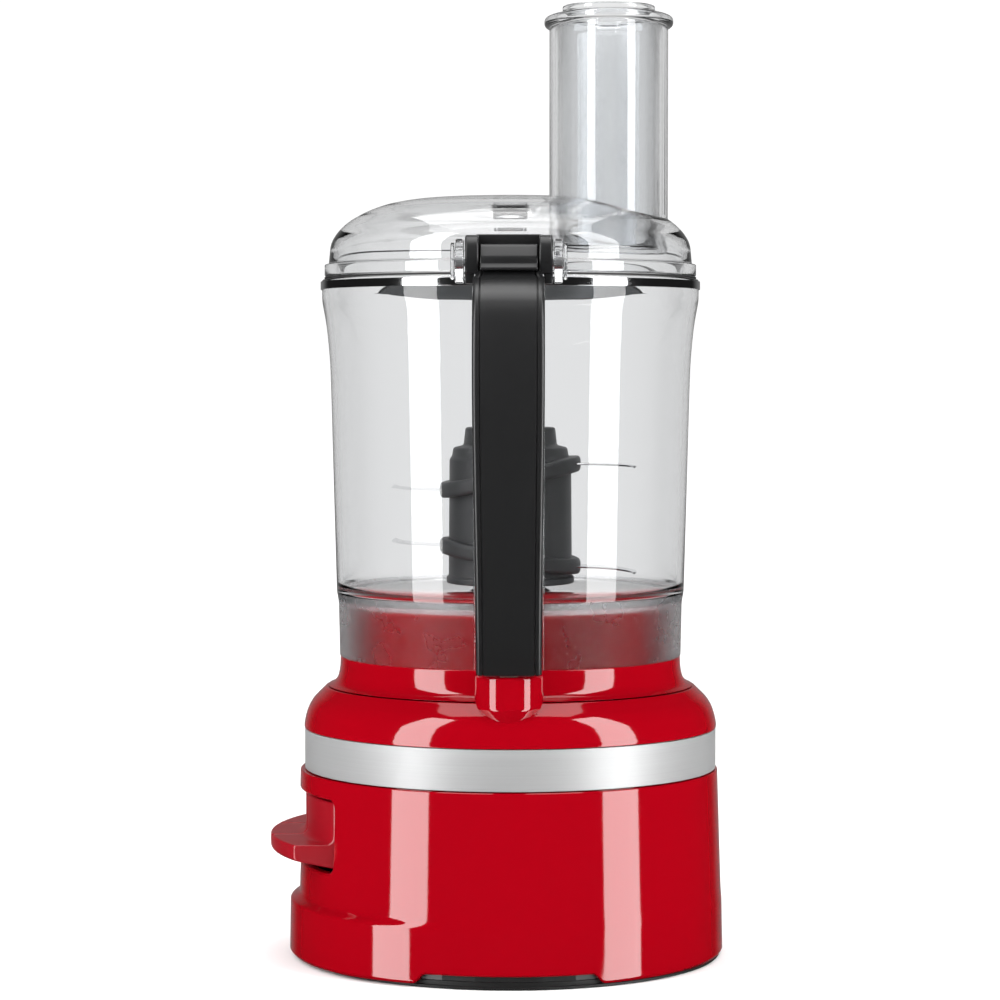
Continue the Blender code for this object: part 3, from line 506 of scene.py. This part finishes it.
BAND = brushed("band_aluminium", (0.37, 0.373, 0.375), 0.5, metallic=0.45, Lines=3200.0,
               Along=6.0, Depth=0.22, Spread=0.2)
ring_piece("band", filleted([(94.6, 86.0), (94.6, 104.3), (92.7, 104.3), (92.7, 86.0)], 0.35),
           "base", "band_metal", BAND, ("trim_band",))

# ---------------------------------------------------------------- upper housing and its boss
# Convex glossy shoulder over the band, and the half-round boss under the handle that holds the
# interlock plunger. Both are one moulding; the boss's foot narrows into the shoulder.
shoulder = [(84.75, 123.4), (87.2, 121.0), (90.4, 117.9), (92.7, 114.2), (94.1, 110.0),
            (94.8, 106.4), (94.8, 104.6), (92.3, 104.6), (92.3, 82.0), (89.8, 82.0),
            (89.8, 108.0), (84.0, 118.0), (72.0, 121.0), (72.0, 123.4)]
ring_piece("shoulder_shell",
           filleted(shoulder, [0.5, 3, 4, 4, 4, 2, 0.3, 0.3, 0.3, 0.3, 2, 2, 1, 0.5], 6),
           "base", "red_shell", RED_GLOSS, ("upper_housing",))


def boss_grid():
    """Half-round plan at each height; half width and face move in towards the foot along a
    45 degree slope, and the top edge is rounded by a quarter circle."""
    height = np.concatenate([np.linspace(105.5, 119.0, 10), np.linspace(119.6, 134.3, 24),
                             135.7 - 1.3 * (1 - np.sin(np.linspace(0.2, 1.5708, 7)))])
    height = np.sort(height)
    slope = np.clip((121.5 - height) / 7.0, 0, 1)
    top = 1.3 - np.sqrt(np.maximum(0, 1.3 ** 2 - np.maximum(0, height - 134.4) ** 2))
    half = 15.0 - 3.6 * slope - top
    face = 94.7 - 3.4 * slope - top
    rows = []
    for h, f in zip(half, face):
        swing = np.linspace(-math.pi / 2, math.pi / 2, 41)
        nose = np.stack([f - h + h * np.cos(swing), h * np.sin(swing)], -1)
        rows.append(np.concatenate([[(72.0, -h)], nose, [(72.0, h)]]))
    plans = np.array(rows)
    z = np.repeat(height[:, None], plans.shape[1], 1)
    return np.concatenate([plans, z[..., None]], -1)


def capped(grid):
    """Faces of a grid of closed rows, with one flat face over its first and its last row."""
    rows, columns = grid.shape[:2]
    faces = woven(rows, columns, closed=False).tolist()
    last = (rows - 1) * columns
    return faces + [list(range(columns))[::-1], list(range(last, last + columns))]


boss = boss_grid()
fitted("handle_boss", boss, capped(boss), "base", RED_GLOSS, crease=40)

# ---------------------------------------------------------------- neck collar and tower
# Flared glossy collar that the bowl stands on, with the round pedestal inside the bowl's
# skirt and the pipe that the bowl drops over. One moulding, screwed from below.
collar = [(10.4, 206.0), (10.4, 161.0), (73.5, 161.0), (75.2, 159.5), (75.2, 137.0),
          (78.1, 137.0), (78.35, 131.5), (79.3, 127.4), (81.0, 125.2), (83.9, 123.9),
          (73.0, 123.9), (72.7, 158.0), (7.6, 158.0), (7.6, 206.0)]
ring_piece("neck_shell",
           filleted(collar, [0.8, 1.5, 1, 1, 0.3, 0.5, 3, 2, 2, 0.2, 0.2, 1, 1, 0.8], 5),
           "base", "red_shell", RED_GLOSS, ("neck_collar",))

# ---------------------------------------------------------------- press keys
# Three satin keys side by side: a crescent ledge under an upright plate, moulded in one with
# a fillet between, hung on a steel rod. Fine dust-like grain and rounded edges.
RED_SATIN = moulded("red_satin", (0.25, 0.0008, 0.007), 0.30, relief=0.00002, Drift=0.06,
                    Spread=0.08, Swell=20.0, Grain=1500.0, Fine=0.5)
KEY_REACH, KEY_ARC = 110.4, 104.0


def key_grid(low_x, high_x):
    """An L-shaped section at each x: ledge tip on the crescent's arc, upright on the housing's
    arc. Sections near both ends shrink along a quarter circle, which rounds the ends."""
    turn = np.linspace(0, math.pi / 2, 6)
    ends = 0.9 * (1 - np.cos(turn))
    x = np.concatenate([low_x + ends, np.linspace(low_x + 1.6, high_x - 1.6, 22),
                        high_x - ends[::-1]])
    nearest = np.minimum(x - low_x, high_x - x)
    shrink = 0.9 - np.sqrt(np.maximum(0, 0.81 - np.maximum(0, 0.9 - nearest) ** 2))
    rows = []
    for place, less in zip(x, shrink):
        tip = KEY_ARC - KEY_REACH - math.sqrt(KEY_ARC ** 2 - place ** 2)
        face = -math.sqrt(94.2 ** 2 - place ** 2)
        back = -math.sqrt(90.7 ** 2 - place ** 2)
        section = [(back - less, 46.2 + less), (face + 2.0, 45.4 + less), (tip + less, 49.4 + less),
                   (tip + less, 56.4 - less), (face + less, 56.4 - less),
                   (face + less, 75.4 - less), (back - less, 75.4 - less)]
        rounded = filleted(section, [0.4, 1.0, 2.0, 1.3, 4.5, 1.3, 0.6], 7)
        rows.append(np.concatenate([np.full((len(rounded), 1), place), rounded], 1))
    return np.array(rows)


KEY_HALF = 52.5
for i, (node, body) in enumerate((("paddle_low", "low_key"), ("paddle_high", "high_key"),
                                  ("paddle_pulse", "pulse_key"))):
    start = -KEY_HALF + 2 * KEY_HALF / 3 * i + 0.3
    grid = key_grid(start, start + 2 * KEY_HALF / 3 - 0.6)
    fitted(f"key_{i + 1}", grid, capped(grid), body, RED_SATIN, (node,), 42)

# ---------------------------------------------------------------- bowl
# Clear tapered bowl with a flared rim and an inner step, a spark-textured skirt below its
# floor, a pipe in the middle, and the hinge lug at the back. Moulded in one.
def clear(name, colour, gloss, relief, grain, ior=1.5, frosted=0.0, swell=30.0):
    """Clear plastic: a glass-like Principled shader with flow waves, and grain where frosted.
    Lamps shine through it without bending."""
    look = bpy.data.materials.new(name)
    look.use_nodes = True
    nodes, link = look.node_tree.nodes, look.node_tree.links.new
    surface = nodes["Principled BSDF"]
    surface.inputs["Transmission Weight"].default_value = 1.0
    surface.inputs["IOR"].default_value = ior
    effect = nodes.new("ShaderNodeGroup")
    effect.node_tree = MOULDED
    effect.inputs["Colour"].default_value = (*colour, 1)
    effect.inputs["Gloss"].default_value = gloss
    effect.inputs["Drift"].default_value = 0.02 + 3.2 * frosted
    effect.inputs["Spread"].default_value = 0.02 + frosted
    effect.inputs["Grain"].default_value = grain
    effect.inputs["Swell"].default_value = swell
    effect.inputs["Fine"].default_value = 0.02 + 4 * frosted
    bump = nodes.new("ShaderNodeBump")
    bump.inputs["Distance"].default_value = relief
    link(effect.outputs["Colour"], surface.inputs["Base Color"])
    link(effect.outputs["Roughness"], surface.inputs["Roughness"])
    link(effect.outputs["Height"], bump.inputs["Height"])
    link(bump.outputs[0], surface.inputs["Normal"])
    path = nodes.new("ShaderNodeLightPath")
    open_air = nodes.new("ShaderNodeBsdfTransparent")
    open_air.inputs["Color"].default_value = (0.93, 0.94, 0.95, 1)
    mix = nodes.new("ShaderNodeMixShader")
    link(path.outputs["Is Shadow Ray"], mix.inputs[0])
    link(surface.outputs[0], mix.inputs[1])
    link(open_air.outputs[0], mix.inputs[2])
    link(mix.outputs[0], nodes["Material Output"].inputs[0])
    return look


CLEAR_BOWL = clear("bowl_clear", (0.97, 0.975, 0.98), 0.0, 0.00001, 200.0, ior=1.45)
SKIRT = clear("skirt_frosted", (0.78, 0.77, 0.78), 0.25, 0.00018, 2600.0, ior=1.31,
              frosted=0.22, swell=2300.0)
GREY_RING = clear("ring_frosted", (0.76, 0.77, 0.79), 0.25, 0.00016, 2600.0, ior=1.42,
                  frosted=0.25, swell=2300.0)

bowl_profile = [(86.3, 309.6), (86.3, 300.0), (84.2, 288.5), (82.6, 272.0), (79.8, 166.8),
                (79.2, 163.4), (78.9, 161.0), (78.4, 137.3), (75.9, 137.3), (77.0, 163.5),
                (11.0, 163.5), (11.0, 206.8), (13.0, 206.8), (13.6, 169.0), (18.0, 166.2),
                (74.0, 166.2), (77.3, 169.5), (80.1, 272.0), (81.7, 288.5), (83.4, 300.0),
                (83.4, 309.6)]
bowl_rounding = [1, 2, 6, 8, 1, 1, 1, 0.6, 0.6, 0.5, 0.8, 0.3, 0.3, 2, 1.5, 1.5, 2, 8, 6, 2, 1]
bowl = ring_piece("bowl_shell", filleted(bowl_profile, bowl_rounding, 5), "work_bowl",
                  "clear_bowl", (CLEAR_BOWL, SKIRT, GREY_RING), ("bowl",), columns=320)
centres = np.empty(len(bowl.data.polygons) * 3)
bowl.data.polygons.foreach_get("center", centres)
centres = centres.reshape(-1, 3)
on_skirt = (centres[:, 2] < 0.1664) & (np.hypot(*(centres - AXIS)[:, :2].T) > 0.0776)
on_ring = on_skirt & (centres[:, 2] > 0.1612)
bowl.data.polygons.foreach_set("material_index", (on_skirt * 1 + on_ring).astype(np.int32))


def slab(outline, spans, insets, plane="xz"):
    """Stacks a closed outline along the third axis: at each span the outline is offset inwards
    by its inset, along the mean normal of its two neighbours."""
    outline = np.asarray(outline, float)
    along = np.roll(outline, -1, 0) - np.roll(outline, 1, 0)
    normal = np.stack([along[:, 1], -along[:, 0]], -1)
    normal /= np.maximum(np.linalg.norm(normal, axis=1, keepdims=True), 1e-9)
    nxt = np.roll(outline, -1, 0)
    if np.sum(outline[:, 0] * nxt[:, 1] - nxt[:, 0] * outline[:, 1]) < 0:
        normal = -normal
    spans, insets = np.asarray(spans, float), np.asarray(insets, float)
    flat = outline[None] - normal[None] * insets[:, None, None]
    third = np.broadcast_to(spans[:, None, None], flat.shape[:2] + (1,))
    if plane == "xz":
        return np.concatenate([flat[..., :1], third, flat[..., 1:]], -1)
    if plane == "yz":
        return np.concatenate([third, flat], -1)
    return np.concatenate([flat, third], -1)


def rounded_ends(low, high, radius, steps=5):
    """Spans and insets of a slab whose two ends are rounded by quarter circles."""
    turn = np.linspace(0, math.pi / 2, steps)
    inset = radius * (1 - np.sin(turn))
    span = radius * (1 - np.cos(turn))
    return (np.concatenate([low + span, high - span[::-1]]),
            np.concatenate([inset, inset[::-1]]))


def slab_piece(name, outline, low, high, radius, body, look, stands_for=(), plane="xz",
               crease=40.0):
    """A slab with rounded ends, made a piece."""
    grid = slab(outline, *rounded_ends(low, high, radius), plane=plane)
    return fitted(name, grid, capped(grid), body, look, stands_for, crease)


def round_outline(x, z, radius, start=0.0, end=360.0, steps=40):
    """Points on a circle between two angles, as an outline or part of one."""
    t = np.radians(np.linspace(start, end, steps, endpoint=end - start < 360))
    return np.stack([x + radius * np.cos(t), z + radius * np.sin(t)], -1)


hinge_low, hinge_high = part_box("lid_hinge_pin")
HINGE_X = ((hinge_low.x + hinge_high.x) / 2 - AXIS[0]) / MM
HINGE_Z = (hinge_low.z + hinge_high.z) / 2 / MM
bowl_lug = np.concatenate([round_outline(HINGE_X, HINGE_Z, 5.0, 180, 0, 14),
                           [(HINGE_X + 5.0, 306.0), (-83.2, 300.5), (-82.8, 292.0),
                            (-85.0, 290.0), (HINGE_X - 5.0, 300.0)]])
slab_piece("bowl_hinge_lug", bowl_lug, -8, 8, 0.8, "work_bowl", CLEAR_BOWL)

# ---------------------------------------------------------------- rod channel
# Clear box rib up the bowl's side behind the handle; the flat interlock rod slides in it.
channel = filleted([(91.6, 138.5), (91.6, 304.3), (86.6, 304.3), (86.4, 300.0), (84.4, 288.5),
                    (82.9, 272.0), (80.1, 166.0), (79.0, 138.5)],
                   [1, 1, 0.3, 1, 2, 2, 1, 0.3], 4)
for side in (-1, 1):
    slab_piece(f"rod_channel_wall_{side}", channel, side * 12.9 - 2.5, side * 12.9 + 2.5, 1.0,
               "work_bowl", CLEAR_BOWL, ("rod_channel",))

# ---------------------------------------------------------------- handle
# Black satin grip bent outward from the bowl: a front cover with a fine step along both
# edges, rounded at the back where the fingers go, standing on the boss.
BLACK_SATIN = moulded("handle_black", (0.0085, 0.0085, 0.009), 0.36, relief=0.00002, Drift=0.10,
                      Spread=0.06, Grain=1800.0, Swell=12.0, Fine=0.6)
handle_line = [(91.9, 305.0), (92.8, 311.2), (98.0, 311.4), (101.4, 309.6), (104.0, 307.6),
               (113.0, 305.2), (121.8, 300.2), (127.8, 291.6), (131.0, 279.5), (132.0, 266.0),
               (130.4, 246.0), (125.0, 218.0), (116.5, 187.0), (105.5, 157.0), (95.5, 136.2),
               (91.9, 136.2), (91.9, 154.0), (97.0, 172.0), (105.0, 200.0), (111.0, 228.0),
               (113.6, 250.0), (113.8, 268.0), (110.0, 279.0), (102.5, 284.5), (91.9, 286.5)]
handle_rounding = [0.5, 1.2, 1.5, 2, 3, 4, 4, 5, 5, 8, 12, 14, 14, 12, 1.2, 0.5, 3, 9, 12, 12,
                   9, 6, 5, 4, 1]
quarter = np.linspace(0, math.pi / 2, 7)
edge_span, edge_inset = 1.7 * (1 - np.cos(quarter)), 1.7 * (1 - np.sin(quarter))
step_span = np.array([2.2, 2.5, 2.75, 3.0, 3.25, 3.6, 6.0])
step_inset = np.array([0.0, 0.0, 0.45, 0.5, 0.0, -0.02, -0.1])
half_span = np.concatenate([edge_span, step_span])
half_inset = np.concatenate([edge_inset, step_inset])
handle = slab(filleted(handle_line, handle_rounding, 7),
              np.concatenate([-14.2 + half_span, [0.0], 14.2 - half_span[::-1]]),
              np.concatenate([half_inset, [-0.16], half_inset[::-1]]) + 0.16)
# Half width grows by 8% from the foot to the top bend, and falls back above it.
rising = np.clip((handle[..., 2] - 150.0) / 120.0, 0, 1)
falling = np.clip((309.4 - handle[..., 2]) / 2.0, 0, 1)
handle[..., 1] *= 1 + 0.08 * (3 - 2 * rising) * rising ** 2 * (3 - 2 * falling) * falling ** 2
fitted("handle", handle, capped(handle), "work_bowl", BLACK_SATIN,
       ("handle_grip",), 50)

# ---------------------------------------------------------------- lid
# Clear domed lid with a flange, an oval feed tube with a lip, ears for the latch's pins and
# two hinge knuckles at the back. The tube runs down inside past the dome.
CLEAR_LID = clear("lid_clear", (0.975, 0.98, 0.985), 0.0, 0.00002, 180.0)
PIN_X, PIN_Z = 94.0, 314.5
TUBE_BASE, TUBE_Y = (44.0, 27.1), 45.0

dome = [(0.0, 347.6), (22.0, 347.3), (45.3, 346.0), (57.0, 343.8), (66.0, 340.5), (74.2, 335.9),
        (79.3, 331.0), (82.3, 326.0), (83.2, 316.6), (85.1, 316.3), (85.1, 311.0), (79.5, 311.0),
        (79.8, 325.0), (72.0, 333.6), (60.0, 339.6), (45.0, 343.3), (20.0, 344.6), (8.0, 344.9),
        (8.0, 340.6), (0.0, 340.6)]
dome_rounding = [0, 6, 6, 5, 4, 4, 3, 3, 0.5, 0.6, 0.8, 0.8, 4, 5, 5, 5, 5, 1.0, 2.0, 0]
tube = [(0.0, 318.2), (0.0, 424.4), (2.3, 425.4), (2.3, 428.8), (-2.5, 428.8), (-2.5, 318.2)]


def raw_mesh(name, points, faces):
    """A closed helper mesh in place, faces outwards, for a join or a cut."""
    return fitted(name, points, faces, "lid_assembly", CLEAR_LID)


def combined(target, other, operation):
    """Applies one exact Boolean of two closed meshes and removes the second."""
    step = target.modifiers.new(operation.lower(), "BOOLEAN")
    step.operation, step.solver, step.object = operation, "EXACT", other
    bpy.context.view_layer.update()
    shape = bpy.data.meshes.new_from_object(
        target.evaluated_get(bpy.context.evaluated_depsgraph_get()))
    target.modifiers.clear()
    target.data = shape
    bpy.data.objects.remove(other)


def axis_profile(outline, radius, steps):
    """A rounded profile that ends on the axis: the last corner is sharp, so only the first of
    its steps + 1 equal points is kept."""
    return filleted(outline, radius, steps)[:-steps]


dome_points = turned(axis_profile(dome, dome_rounding, 5), 240)
lid = raw_mesh("lid_shell", dome_points, woven(len(dome_points), 240, closed=False).tolist())
bore = slab(turned([(-2.5, 0.0)], 160, centre=(0, TUBE_Y), base=TUBE_BASE)[0][:, :2],
            [300.0, 440.0], [0.0, 0.0], plane="xy")
combined(lid, raw_mesh("tube_bore", bore, capped(bore)), "DIFFERENCE")
tube_points = turned(filleted(tube, [0.8, 1.2, 1.5, 1.6, 1.0, 0.8], 5), 160,
                     centre=(0, TUBE_Y), base=TUBE_BASE)
wall = raw_mesh("tube_wall", tube_points, woven(len(tube_points), 160).tolist())
combined(lid, wall, "UNION")
lid.data.shade_smooth()
lid.data.set_sharp_from_angle(angle=math.radians(28))
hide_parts("lid")

ear = filleted(np.concatenate([[(82.0, 316.6), (85.9, 312.6), (87.2, 306.8)],
                               round_outline(PIN_X, PIN_Z, 9.1, 250, 400, 24),
                               [(88.0, 325.0), (82.6, 323.5)]]), 0.8, 3)
pin_cap = round_outline(PIN_X, PIN_Z + 0.5, 8.0, 0, 360, 48)
for side in (-1, 1):
    slab_piece(f"latch_ear_{side}", ear, side * 21.2 - 1.9, side * 21.2 + 1.9, 0.7,
               "lid_assembly", CLEAR_LID)
    slab_piece(f"latch_ear_cap_{side}", pin_cap, side * 24.2 - 0.8, side * 24.2 + 0.8, 0.5,
               "lid_assembly", CLEAR_LID)
    knuckle = np.concatenate([round_outline(HINGE_X, HINGE_Z, 4.8, 130, 300, 20),
                              [(HINGE_X + 5.3, 309.9), (-82.0, 313.0), (-82.0, 315.8)]])
    slab_piece(f"lid_hinge_knuckle_{side}", knuckle, side * 12 - 3, side * 12 + 3, 0.6,
               "lid_assembly", CLEAR_LID)

# ---------------------------------------------------------------- bowl rim band
# Bevelled band round the bowl just under its rim. The real one is clear, and mirrors the room
# by total reflection at its bevel; a polished metallic finish shows the same thing.
RIM_MIRROR = brushed("rim_mirror", (0.62, 0.63, 0.64), 0.07, metallic=1.0, relief=0.000002,
                     Lines=900.0, Along=5.0, Depth=0.05, Spread=0.04)
ring_piece("bowl_rim_band", filleted([(86.95, 304.9), (86.95, 308.6), (86.4, 308.6),
                                      (86.4, 304.9)], 0.2), "work_bowl", "clear_bowl",
           RIM_MIRROR)

# ---------------------------------------------------------------- gasket
# Black rubber ring under the lid's flange, with a thin sealing lip.
RUBBER = moulded("rubber", (0.012, 0.012, 0.012), 0.6, relief=0.00003, Drift=0.15, Spread=0.1,
                 Grain=1200.0, Fine=0.8)
ring_piece("gasket", filleted([(85.2, 309.9), (85.2, 310.7), (82.0, 310.7), (80.2, 309.9)],
                              [0.3, 0.3, 0.4, 0.3], 4),
           "lid_assembly", "rubber", RUBBER, ("lid_gasket",))

# ---------------------------------------------------------------- latch
# Black frame that swings on two pins in the lid's ears: two knuckles with tongues below them,
# a top bar behind and a thumb bar between them, all one moulding.
BLACK_LATCH = moulded("latch_black", (0.009, 0.009, 0.0095), 0.36, relief=0.00002, Drift=0.10,
                      Spread=0.06, Grain=1800.0, Fine=0.6)
bar = filleted([(86.6, 311.0), (86.6, 324.6), (88.6, 326.6), (92.4, 326.6), (92.4, 321.5),
                (88.8, 320.5), (88.8, 311.0)], [0.5, 0.9, 0.9, 0.9, 0.5, 0.9, 0.5])
slab_piece("latch_bar", bar, -14.0, 14.0, 0.4, "latch", BLACK_LATCH,
           ("lid_latch",))
thumb = filleted([(91.2, 322.4), (96.3, 322.3), (101.4, 316.4), (101.3, 313.8), (103.4, 311.9),
                  (103.4, 311.0), (101.6, 310.7), (98.4, 312.1), (91.2, 312.3)],
                 [0.8, 2.0, 1.6, 0.3, 0.4, 0.4, 0.3, 0.3, 0.6], 8)
slab_piece("latch_thumb_bar", thumb, -12.3, 12.3, 0.4, "latch", BLACK_LATCH)
knuckle_line = filleted(np.concatenate([
    [(86.8, 311.4), (86.8, 324.4), (89.4, 326.4)],
    round_outline(PIN_X, PIN_Z + 3.4, 8.2, 90, -30, 24), [(99.6, 309.4), (90.2, 309.4)]]), 0.8, 3)
tongue_line = filleted([(90.6, 312.0), (91.4, 316.0), (99.2, 316.0), (98.6, 305.2),
                        (92.2, 305.2)], 0.8, 3)
for side in (-1, 1):
    slab_piece(f"latch_knuckle_{side}", knuckle_line, side * 15.85 - 2.95, side * 15.85 + 2.95,
               0.9, "latch", BLACK_LATCH)
    slab_piece(f"latch_tongue_{side}", tongue_line, side * 16.9 - 1.95, side * 16.9 + 1.95,
               0.6, "latch", BLACK_LATCH)

# ---------------------------------------------------------------- pushers
# Oval clear pusher shaped as a deep cup with a round collar, a round sleeve inside it, and
# the small pusher, a plain cup with a lip, that slides in the sleeve.
CLEAR_PUSHER = clear("pusher_clear", (0.975, 0.98, 0.985), 0.0, 0.00002, 180.0)


def thin_clear(name, colour, faint, strong):
    """Thin clear wall: see-through by alpha, which a Fresnel factor raises at the edges."""
    look = moulded(name, colour, 0.03, relief=0.00002, Drift=0.03, Spread=0.02, Fine=0.02)
    nodes, link = look.node_tree.nodes, look.node_tree.links.new
    rim = nodes.new("ShaderNodeLayerWeight")
    rim.inputs[0].default_value = 0.25
    amount = nodes.new("ShaderNodeMapRange")
    amount.inputs["To Min"].default_value = faint
    amount.inputs["To Max"].default_value = strong
    link(rim.outputs["Facing"], amount.inputs[0])
    link(amount.outputs[0], nodes["Principled BSDF"].inputs["Alpha"])
    return look


THIN_CLEAR = thin_clear("pusher_thin_clear", (0.80, 0.81, 0.82), 0.05, 0.65)
PUSHER_BASE = (40.5, 23.6)
cup = [(0.0, 322.0), (0.0, 426.2), (-2.0, 426.2), (-2.0, 324.4)]
cup_points = turned(filleted(cup, [1.2, 0.8, 0.8, 1.0], 5), 160, centre=(0, TUBE_Y),
                    base=PUSHER_BASE)
fitted("pusher_cup", cup_points, woven(len(cup_points), 160).tolist(), "large_pusher_body",
       CLEAR_PUSHER, ("large_pusher",))
ring_piece("pusher_collar", filleted([(21.1, 426.3), (21.1, 428.4), (20.4, 429.2), (20.4, 431.6),
                                      (21.1, 432.2), (21.1, 434.4), (19.0, 434.4),
                                      (19.0, 426.3)], [0.5, 0.5, 0.5, 0.4, 0.4, 1, 1, 0.6], 4),
           "large_pusher_body", "clear_pusher", CLEAR_PUSHER, columns=160, centre=(0, TUBE_Y))
ring_piece("pusher_sleeve", filleted([(15.7, 324.6), (15.7, 419.8), (13.6, 419.8),
                                      (13.6, 324.6)], 0.6, 3),
           "large_pusher_body", "clear_pusher", THIN_CLEAR, columns=96, centre=(0, TUBE_Y))
small = [(0.0, 325.0), (10.5, 325.0), (10.5, 423.9), (17.0, 423.9), (17.0, 420.6), (12.4, 420.6),
         (12.4, 322.6), (0.0, 322.6)]
small_points = turned(axis_profile(small, [0, 1, 1, 1, 0.8, 0.5, 1.5, 0], 4), 96,
                      centre=(0, TUBE_Y))
fitted("small_pusher_cup", small_points, woven(len(small_points), 96, closed=False).tolist(),
       "small_pusher_body", THIN_CLEAR, ("small_pusher",))

# ---------------------------------------------------------------- blade hub
# Dark grey glass-filled hub, dropped over the drive: stepped drum with two wrap-round collars
# that hold the blades, each rising to one side like a ramp.
HUB_GREY = moulded("hub_grey", (0.019, 0.0192, 0.0198), 0.5, relief=0.00008, Drift=0.35,
                   Spread=0.15, Grain=1300.0, Swell=60.0, Fine=1.2)
hub = [(0.0, 241.8), (20.6, 241.8), (21.5, 233.6), (26.2, 232.4), (26.8, 228.6), (28.0, 227.0),
       (28.4, 173.2), (29.4, 172.4), (29.4, 169.7), (25.0, 169.7), (14.8, 178.0), (14.8, 207.6),
       (0.0, 207.6)]
hub_points = turned(axis_profile(hub, [0, 1.2, 1, 1, 0.8, 1, 0.8, 0.6, 0.6, 0.5, 1, 1, 0], 4),
                    160)
fitted("hub_drum", hub_points, woven(len(hub_points), 160, closed=False).tolist(),
       "blade_assembly", HUB_GREY, ("blade_hub",))


def collar_grid(low, high, depth, lean):
    """A closed strip round the drum: the middle of its height is the mean of low and high plus
    half their difference times the cosine of the angle less the lean."""
    t = np.linspace(0, 2 * math.pi, 181)[:-1]
    middle = (low + high) / 2 + (high - low) / 2 * np.cos(t - lean)
    section = filleted([(27.5, -depth), (31.6, -depth), (32.4, -depth + 1.5), (32.4, depth - 1.5),
                        (31.6, depth), (27.5, depth)], [0.1, 0.8, 0.8, 0.8, 0.8, 0.1], 3)
    reach = section[:, :1] + 0.0 * t
    height = section[:, 1:] + middle
    return np.stack([reach * np.cos(t), reach * np.sin(t), height], -1)


for i, (low, high, lean) in enumerate(((177.5, 187.0, -90.0), (212.7, 225.0, 90.0))):
    strip = collar_grid(low, high, 3.6, math.radians(lean))
    fitted(f"hub_collar_{i + 1}", strip, woven(*strip.shape[:2]).tolist(), "blade_assembly",
           HUB_GREY)

# ---------------------------------------------------------------- blades
# Four thin stainless scimitars, ground to an edge in front, clamped in the hub's collars.
BLADE_STEEL = brushed("blade_steel", (0.70, 0.70, 0.71), 0.22, Lines=400.0, Along=400.0,
                      Depth=0.12, Spread=0.12)


def blade_grid(level, turn):
    """Middle line turns back by 38 degrees x share^1.6 as the radius grows from 20 to 70; the
    half width is 9(1 - share^2.2) + 1, and the thickness falls to the ground front edge."""
    share = np.linspace(0, 1, 40)[:, None]
    radius = 20 + 50 * share
    bend = -math.radians(38) * share ** 1.6
    half = 9.0 * (1 - share ** 2.2) + 1.0
    across = np.array([-1, -0.97, -0.5, 0.3, 0.97, 1.0, 0.97, 0.3, -0.5, -0.97])
    thick = np.array([0.0, 0.35, 0.5, 0.5, 0.08, 0.0, -0.08, -0.5, -0.5, -0.35])
    x = radius * np.cos(bend) - across * half * np.sin(bend)
    y = radius * np.sin(bend) + across * half * np.cos(bend)
    z = level + thick + 0 * x
    c, s = math.cos(math.radians(turn)), math.sin(math.radians(turn))
    return np.stack([c * x - s * y, s * x + c * y, z], -1)


for i, (level, turn) in enumerate(((177.5, 90.0), (187.0, 270.0), (212.7, 270.0),
                                   (225.0, 90.0))):
    blade = blade_grid(level, turn)
    fitted(f"blade_{i + 1}_ground", blade, capped(blade), "blade_assembly",
           BLADE_STEEL, (f"blade_{i + 1}",))

# ---------------------------------------------------------------- parts kept from the frame
# Feet, base plate, cord bush, pins, springs, motor, gears and switches keep their shape and
# take a finish of the right kind, with its own grain, each from the record's slot.
kept_looks = {
    "red_shell": RED_GLOSS, "red_satin": RED_SATIN, "band_metal": BAND, "rubber": RUBBER,
    "black_handle": BLACK_SATIN, "hub_plastic": HUB_GREY, "blade_steel": BLADE_STEEL,
    "clear_bowl": CLEAR_BOWL, "clear_lid": CLEAR_LID, "clear_pusher": CLEAR_PUSHER,
    "black_plastic": moulded("black_plastic", (0.02, 0.02, 0.02), 0.42, Drift=0.12,
                             Spread=0.08, Grain=1400.0, Fine=0.8),
    "steel": brushed("steel", (0.60, 0.60, 0.61), 0.28, Lines=900.0, Along=120.0, Depth=0.18),
    "laminations": brushed("laminations", (0.32, 0.32, 0.33), 0.45, Lines=2000.0, Along=20.0,
                           Depth=0.5, Spread=0.2),
    "copper": brushed("copper", (0.72, 0.34, 0.16), 0.34, Lines=2400.0, Along=60.0, Depth=0.4),
    "brass": brushed("brass", (0.75, 0.55, 0.25), 0.32, Lines=900.0, Along=200.0, Depth=0.2),
    "circuit_board": moulded("circuit_board", (0.02, 0.16, 0.06), 0.35, Drift=0.4,
                             Swell=220.0, Grain=2500.0, Fine=0.6),
    "nylon": moulded("nylon", (0.80, 0.78, 0.70), 0.42, Drift=0.06, Grain=900.0, Fine=0.5),
}
for part in frame["record"]["subparts"]:
    node = frame["nodes"][part["node"]]
    for spot in node.material_slots:
        spot.material = kept_looks[part["material_slot"]]
